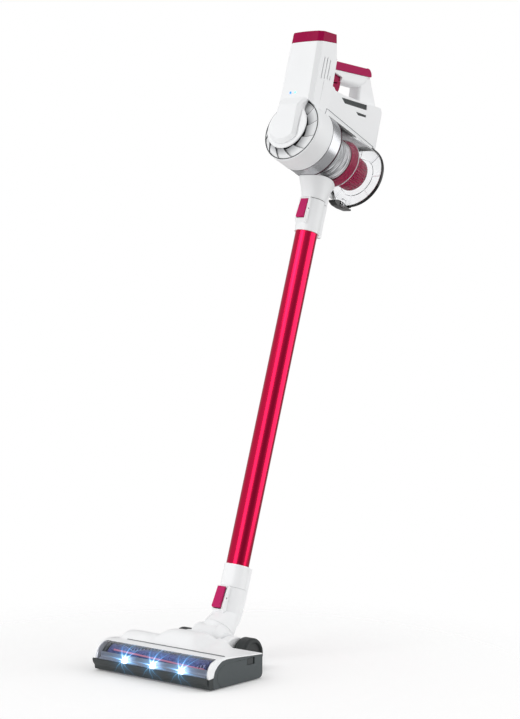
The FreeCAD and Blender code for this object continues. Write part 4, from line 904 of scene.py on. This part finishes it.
def deckShell():
    front = arcOutline(deck["front"], 7, False)
    left, right = deck["window"][0] - 0.3, deck["window"][1] + 0.3
    gap, rear = deck["neckHalf"], deck["rear"]
    across = [-deck["half"], -117, -115, left]
    for start, end, parts in ((left, -gap, 32), (-gap, gap, 28), (gap, right, 32)):
        across += [start + (end - start) * step / parts for step in range(1, parts + 1)]
    across.append(deck["half"])
    points = []
    for x in across:
        top = deckHeight(x, 122)
        path = [tuple(spot) for spot in front] + [(back, deckHeight(x, back)) for back in deck["backs"]]
        path += [(rear - 1, top - 0.5), (rear, top - 2.2), (rear, top - 9), (rear, 24), (rear, deck["foot"])]
        points += [(x, back, up) for back, up in path]
    # the window and the neck leave gaps
    windowEnd, neckStart = len(front) + 2, len(front) + len(deck["backs"]) - 3
    faces = []
    for face in quads(len(across), len(path), False):
        column, number = divmod(face[0], len(path))
        middle = (across[column] + across[column + 1]) / 2
        inWindow = left < middle < right and number < windowEnd
        inNeck = abs(middle) < gap and number >= neckStart
        if not inWindow and not inNeck:
            faces.append(face)
    shell = addPiece("deckShell", (points, faces), headSeat, "white", ["head_top_shell"])
    wall = shell.modifiers.new("wall", "SOLIDIFY")
    wall.thickness = 2 * mm
    wall.offset = -1
    eased(shell, 0.5, 2, 45)
    for side, label in ((-1, "Left"), (1, "Right")):
        ends = [side * end for end in deck["earSides"]]
        eased(slab("pivotEar" + label, arcOutline(deck["ear"], 8), ends, headSeat, "white"), 2.2, 4, 40)


ends = {"sides": (116.8, 121.9),
        "capTop": [(9.4, 19.6), (12.8, 29.6), (19.6, 36.4), (28.8, 42), (40, 43.4), (60, 42.6), (100, 39.8),
                   (125, 38.2)],
        "lip": [(-1, 18.3), (-1.2, 14), (-0.6, 7), (0.5, 2.6), (3.8, 1.6), (9.8, 1.6), (8, 10), (9.2, 18.3)]}


def deckEnds():
    # the shell's end walls, which frame the dark end caps, and the dark lip that closes them below
    half = deck["half"]
    line = [tuple(spot) for spot in arcOutline(deck["front"], 12, False)]
    line += [(back, deckHeight(half, back)) for back in range(18, 122, 4)]
    line += [(124, deckHeight(half, 122) - 0.5), (125, deckHeight(half, 122) - 2.2)]
    band = [(back + 0.05, up - 0.05) for back, up in line] + ends["capTop"][::-1]
    for side, label in ((-1, "Left"), (1, "Right")):
        sides = [side * end for end in ends["sides"]]
        eased(slab("deckEnd" + label, band, sides, headSeat, "white"), 0.7, 3, 40)
        eased(slab("bumperEnd" + label, ends["lip"], sides, headSeat, "dark"), 0.5, 2, 40)


# a collar's seam is named by its height up the wand; the deck's groove runs across it behind the window
seams = {"collars": [("upperSeam", 753.7, 754.8), ("lowerSeam", 86.6, 87.2)], "inner": 19.4, "outer": 20.8,
         "from": -86, "length": 203.9, "steps": 60, "lift": 1.0,
         "groove": [(37.4, -0.2), (39.0, 0), (40.6, -0.2), (40.6, -2.6), (37.4, -2.6)]}


def darkSeams():
    # thin dark joints between mouldings
    for name, low, high in seams["collars"]:
        turned(name, rectangle(seams["inner"], seams["outer"], low, high), "Z", wandSeat, "dark", (), 96)
    rings = []
    for number in range(seams["steps"] + 1):
        x = seams["from"] + seams["length"] * number / seams["steps"]
        top = deckHeight(x, 37.8) + seams["lift"]
        rings.append([(x, back, top + up) for back, up in seams["groove"]])
    addPiece("deckSeam", stacked(rings), headSeat, "seam")


def brushWindow():
    outline = arcOutline([(-3.8, 19.6), (21.5, 45.6, 3.4, 37.6)], 26, False)
    outline += arcOutline([(21.6, 44.2), (-2.2, 19.6, 4.6, 36.8)], 26, False)
    eased(slab("brushWindow", outline, deck["window"], headSeat, "window", ["brush_window"]), 0.3, 2, 50)


# millimetres; "tuftTurn" and "stripTurn" are degrees round the roll, "twist" and "stripTwist" degrees along it
roll = {
    "centre": (26.5, 22.3), "core": 19, "tip": 20.4, "half": 103, "right": 104.6, "stub": 14.2,
    "stubRight": 111.4,
    "tufts": 36, "middle": -50, "tuftTurn": 124, "twist": 1.07, "tuftSizes": (1.2, 1.5, 1.9),
    "stripTurn": 148, "stripTwist": 9 / 103, "stripLeft": -90,
    "sleeve": (19.9, 18.4), "sleeveSides": (-111.8, -104.4),
}
rollSeat = (shifted(headPlace, 0, *roll["centre"]), "brush_roll")


def beltCover():
    # fixed sleeve over the belt drive at the roll's left end
    angles = [math.radians(50 + 5 * step) for step in range(34)]
    back, up = roll["centre"]
    outline = [(radius * math.cos(angle) + back, radius * math.sin(angle) + up)
               for radius, order in zip(roll["sleeve"], (1, -1)) for angle in angles[::order]]
    eased(slab("beltCover", outline, roll["sleeveSides"], headSeat, "cap"), 0.4)


capLine = {"route": [(27.4, 1.8), (19, 11, 8), (17.6, 22, 8), (24.2, 31, 6), (38, 37, 12), (84, 36.4)],
           "halfWidth": 0.32, "sunk": 121.4, "face": 122.0}


def capLines():
    # the line moulded round each end cap's front
    route = [spot for spot in softened(capLine["route"], 6) if spot.y > 1.7]
    for side, label, body in ((-1, "Left", "floor_head"), (1, "Right", "end_cap")):
        rings = []
        for number, spot in enumerate(route):
            way = route[min(number + 1, len(route) - 1)] - route[max(number - 1, 0)]
            way = way.normalized() * capLine["halfWidth"]
            rings.append([(side * x, spot.x - way.y * turn, spot.y + way.x * turn)
                          for x, turn in rectangle(capLine["sunk"], capLine["face"], -1, 1)])
        addPiece("capLine" + label, stacked(rings), (headPlace, body), "rubber")


def tuftAngle(row, x):
    return math.radians(row + roll["tuftTurn"] - roll["twist"] * abs(x - roll["middle"]))


def brushTufts():
    # cut nylon tufts in two V rows; each leans wider towards its tip
    start, length = 3 - roll["half"], roll["half"] + roll["right"] - 6
    radii = (roll["core"] - 1, roll["core"] + 0.6, roll["tip"])
    tufts = []
    for row in (0, 180):
        for number in range(roll["tufts"]):
            x = start + length * (number + 0.5) / roll["tufts"]
            rings = []
            for radius, size in zip(radii, roll["tuftSizes"]):
                ring = []
                for step in range(6):
                    turn = math.tau * step / 6
                    swing = tuftAngle(row, x) + 1.5 * size * math.sin(turn) / radius
                    ring.append(spun("X", radius, x + 0.8 * size * math.cos(turn), swing))
                rings.append(ring)
            tufts.append(stacked(rings))
    return joinedMesh(tufts)


def rollStrip(low, high, steps, section, turnAt):
    # a strip along the roll; its section is radius and angle from its middle
    rings = []
    for step in range(steps + 1):
        x = low + (high - low) * step / steps
        rings.append([spun("X", radius, x, turnAt(x) + side) for radius, side in section])
    return stacked(rings)


def brushRoll():
    half, core, right, tip = roll["half"], roll["core"], roll["right"], roll["tip"]
    turned("brushRoll", [
        (0, -117.5), (4, -117.5), (4, -112), (10.8, -112), (9.6, -111.4), (9.6, -106.6), (10.8, -106),
        (5, -106), (5, -half), (core - 1.2, -half), (core, -half + 1.5, 1), (core, right - 1.5, 1),
        (core - 1.2, right), (roll["stub"], right), (roll["stub"], roll["stubRight"]),
        (4, roll["stubRight"]), (4, 116.5), (0, 116.5),
    ], "X", rollSeat, "plush", ["brush_core"], 96)
    bed = [(core - 1, -0.17), (core + 0.25, -0.16), (core + 0.25, 0.16), (core - 1, 0.17)]
    beds = [rollStrip(2 - half, right - 2, 90, bed, lambda x, row=row: tuftAngle(row, x)) for row in (0, 180)]
    addPiece("tuftBeds", joinedMesh(beds), rollSeat, "bed")
    addPiece("bristleTufts", brushTufts(), rollSeat, "bristle", ["brush_bristles"])
    strip = rollStrip(roll["stripLeft"], right - 0.6, 60,
                      [(core - 1, -0.075), (tip, -0.06), (tip, 0.06), (core - 1, 0.075)],
                      lambda x: math.radians(roll["stripTurn"] + roll["stripTwist"] * x))
    eased(addPiece("wiperStrip", strip, rollSeat, "pink"), 0.25)


channel = {"ends": (-111, 117),
           "outline": [(-0.9, 19.9), (0.2, 22), (3.6, 22.6), (4.6, 24.6), (3.9, 28), (2.2, 31.2), (2.9, 31.6),
                       (4.9, 28.4), (5.5, 24.6), (4.4, 21.4), (0.8, 20.6)],
           "lens": [(0, -0.9), (1.4, -0.7), (2.5, 0.3, 0.6), (2.6, 3.9), (0, 3.9)]}


def headLamps():
    # three diodes in a bright channel behind the window's lower part
    slab("lampChannel", channel["outline"], channel["ends"], headSeat, "reflector", ["led_lights"])
    for number in range(3):
        place = shifted(headPlace, lamps["middle"] + lamps["apart"] * (number - 1), 0, lamps["up"])
        turned("lampLens%d" % (number + 1), channel["lens"], "Y", (place, "floor_head"), "diode")


wheel = {"inner": 54.4, "back": 155, "up": 26,
         "profile": [(3.1, 0), (23, 0, 1), (26, 3.4, 3), (26, 20.6, 3), (23, 24, 1.5), (20, 24, 0.6),
                     (18.4, 20.4, 1), (7, 20.4, 1), (6, 23, 0.8), (3.1, 23, 0.4)]}


def wheels():
    for side, label in ((-1, "left"), (1, "right")):
        seat = (shifted(headPlace, side * wheel["inner"], wheel["back"], wheel["up"]), label + "_wheel")
        turned(label + "Wheel", [(p[0], side * p[1], *p[2:]) for p in wheel["profile"]], "X", seat, "tyre",
               [label + "_wheel"])


deckShell()
deckEnds()
darkSeams()
brushWindow()
beltCover()
capLines()
brushRoll()
headLamps()
wheels()

# stage

print("stage")
view = {"from": (1.9450, -2.3362, 0.6331), "at": (0.0957, -0.1300, 0.4958), "lens": 92.15, "sensor": 36}


def placed(name, data, spot, away):
    # an object of the stage that looks back along "away"
    thing = bpy.data.objects.new(name, data)
    bpy.context.scene.collection.objects.link(thing)
    thing.location = spot
    thing.rotation_mode = "QUATERNION"
    thing.rotation_quaternion = away.to_track_quat("Z", "Y")
    return thing


def makeCamera():
    lens = bpy.data.cameras.new("camera")
    lens.lens = view["lens"]
    lens.sensor_width = view["sensor"]
    bpy.context.scene.camera = placed("camera", lens, view["from"], Vector(view["from"]) - Vector(view["at"]))


# lights: azimuth and elevation in degrees, distance, width and height in metres, watts, and what they shine on
studio = {
    # share of light that the room throws from each azimuth in degrees
    "room": [(0, 0.3), (35, 0.4), (110, 0.55), (150, 0.6), (208, 0.6), (226, 0.24), (255, 0.24), (275, 0.48),
             (325, 0.48), (345, 0.3)],
    "overhead": 0.66, "mattBoost": 0.12, "centre": (0, 0, 0.5),
    "lights": [("keyLight", -15, 50, 3.0, 1.6, 1.6, 15, "both"),
               ("sideLight", 126, 14, 3.0, 2.8, 3.4, 44, "both"),
               ("lowFill", -16, -3, 3.0, 1.8, 1.4, 25, "matt"),
               ("frontCard", 9, 14, 3.0, 1.7, 3.4, 26, "gloss")],
}


def softbox(name, azimuth, elevation, reach, width, height, power, shinesOn):
    turn, rise = math.radians(azimuth), math.radians(elevation)
    away = Vector((math.sin(turn) * math.cos(rise), -math.cos(turn) * math.cos(rise), math.sin(rise)))
    lamp = bpy.data.lights.new(name, "AREA")
    lamp.shape = "RECTANGLE"
    lamp.size, lamp.size_y = width, height
    lamp.energy = power
    light = placed(name, lamp, Vector(studio["centre"]) + away * reach, away)
    light.visible_diffuse = shinesOn != "gloss"
    light.visible_glossy = shinesOn != "matt"
    light.visible_transmission = False


paper = {"radius": 0.75, "centre": (0.02, -0.2, 0), "tone": "FBFBFB", "glow": 0.1, "rings": 12, "steps": 96,
         "fadeFrom": 0.2, "fadeTo": 0.7125}


def makeFloor():
    steps = paper["steps"]
    radii = [0.001] + [paper["radius"] * step / paper["rings"] for step in range(1, paper["rings"] + 1)]
    points = [(r * math.cos(math.tau * s / steps), r * math.sin(math.tau * s / steps), 0)
              for r in radii for s in range(steps)]
    mesh = bpy.data.meshes.new("floor")
    mesh.from_pydata(points, [], quads(len(radii), steps))
    floor = bpy.data.objects.new("floor", mesh)
    bpy.context.scene.collection.objects.link(floor)
    floor.location = paper["centre"]
    # rolled backdrop paper: matt and even, and it fades into the white room before its edge
    material, tree, shader, place = newFinish("backdrop_paper_rolled", {
        "Roughness": 0.9, "Emission Color": (1, 1, 1, 1), "Emission Strength": paper["glow"]})
    mottled(tree, shader, place, paper["tone"], 0.004, 60)
    reach = addNode(tree, "VectorMath", {"operation": "LENGTH"}, {0: place})
    fade = addNode(tree, "MapRange", {1: paper["fadeFrom"], 2: paper["fadeTo"], 3: 1.0, 4: 0.0,
                                      "interpolation_type": "SMOOTHSTEP"}, {0: (reach, "Value")})
    tree.links.new(fade.outputs[0], shader.inputs["Alpha"])
    mesh.materials.append(material)


def makeStudio():
    world = bpy.data.worlds.new("studio")
    bpy.context.scene.world = world
    world.use_nodes = True
    tree = world.node_tree
    tree.nodes.clear()
    seen = addNode(tree, "Background", {"Color": (1, 1, 1, 1), "Strength": 1.0})
    # the room is darker behind the object, which draws its edges on the white, and towards its front
    # right corner
    apart = addNode(tree, "SeparateXYZ", {}, {0: (addNode(tree, "TexCoord"), "Generated")})
    forward = addNode(tree, "Math", {"operation": "MULTIPLY", 1: -1.0}, {0: (apart, "Y")})
    turn = addNode(tree, "Math", {"operation": "ARCTAN2"}, {0: (apart, "X"), 1: (forward, 0)})
    share = addNode(tree, "MapRange", {1: -math.pi, 2: math.pi}, {0: (turn, 0)})
    room = addNode(tree, "ValToRGB", {}, {0: (share, 0)})
    stops = room.color_ramp.elements
    while len(stops) < len(studio["room"]):
        stops.new(0.5)
    for stop, (azimuth, level) in zip(stops, studio["room"]):
        stop.position = azimuth / 360
        stop.color = (level, level, level, 1)
    high = addNode(tree, "MapRange", {1: 0.35, 2: 0.8}, {0: (apart, "Z")})
    tone = addNode(tree, "Mix", {"data_type": "RGBA", 7: toLinear("FFFFFF", studio["overhead"])},
                   {0: (high, 0), 6: (room, "Color")})
    path = addNode(tree, "LightPath")
    boost = addNode(tree, "Math", {"operation": "MULTIPLY_ADD", 1: studio["mattBoost"], 2: 1.0},
                    {0: (path, "Is Diffuse Ray")})
    lighting = addNode(tree, "Background", {}, {"Color": (tone, 2), "Strength": (boost, 0)})
    beyond = addNode(tree, "Math", {"operation": "GREATER_THAN", 1: 0.5}, {0: (path, "Transmission Depth")})
    straight = addNode(tree, "Math", {"operation": "MAXIMUM"}, {0: (path, "Is Camera Ray"), 1: (beyond, 0)})
    both = addNode(tree, "MixShader", {}, {0: (straight, 0), 1: (lighting, 0), 2: (seen, 0)})
    addNode(tree, "OutputWorld", {}, {"Surface": (both, 0)})
    for light in studio["lights"]:
        softbox(*light)
    bpy.context.scene.view_settings.view_transform = "Standard"


makeCamera()
makeFloor()
makeStudio()
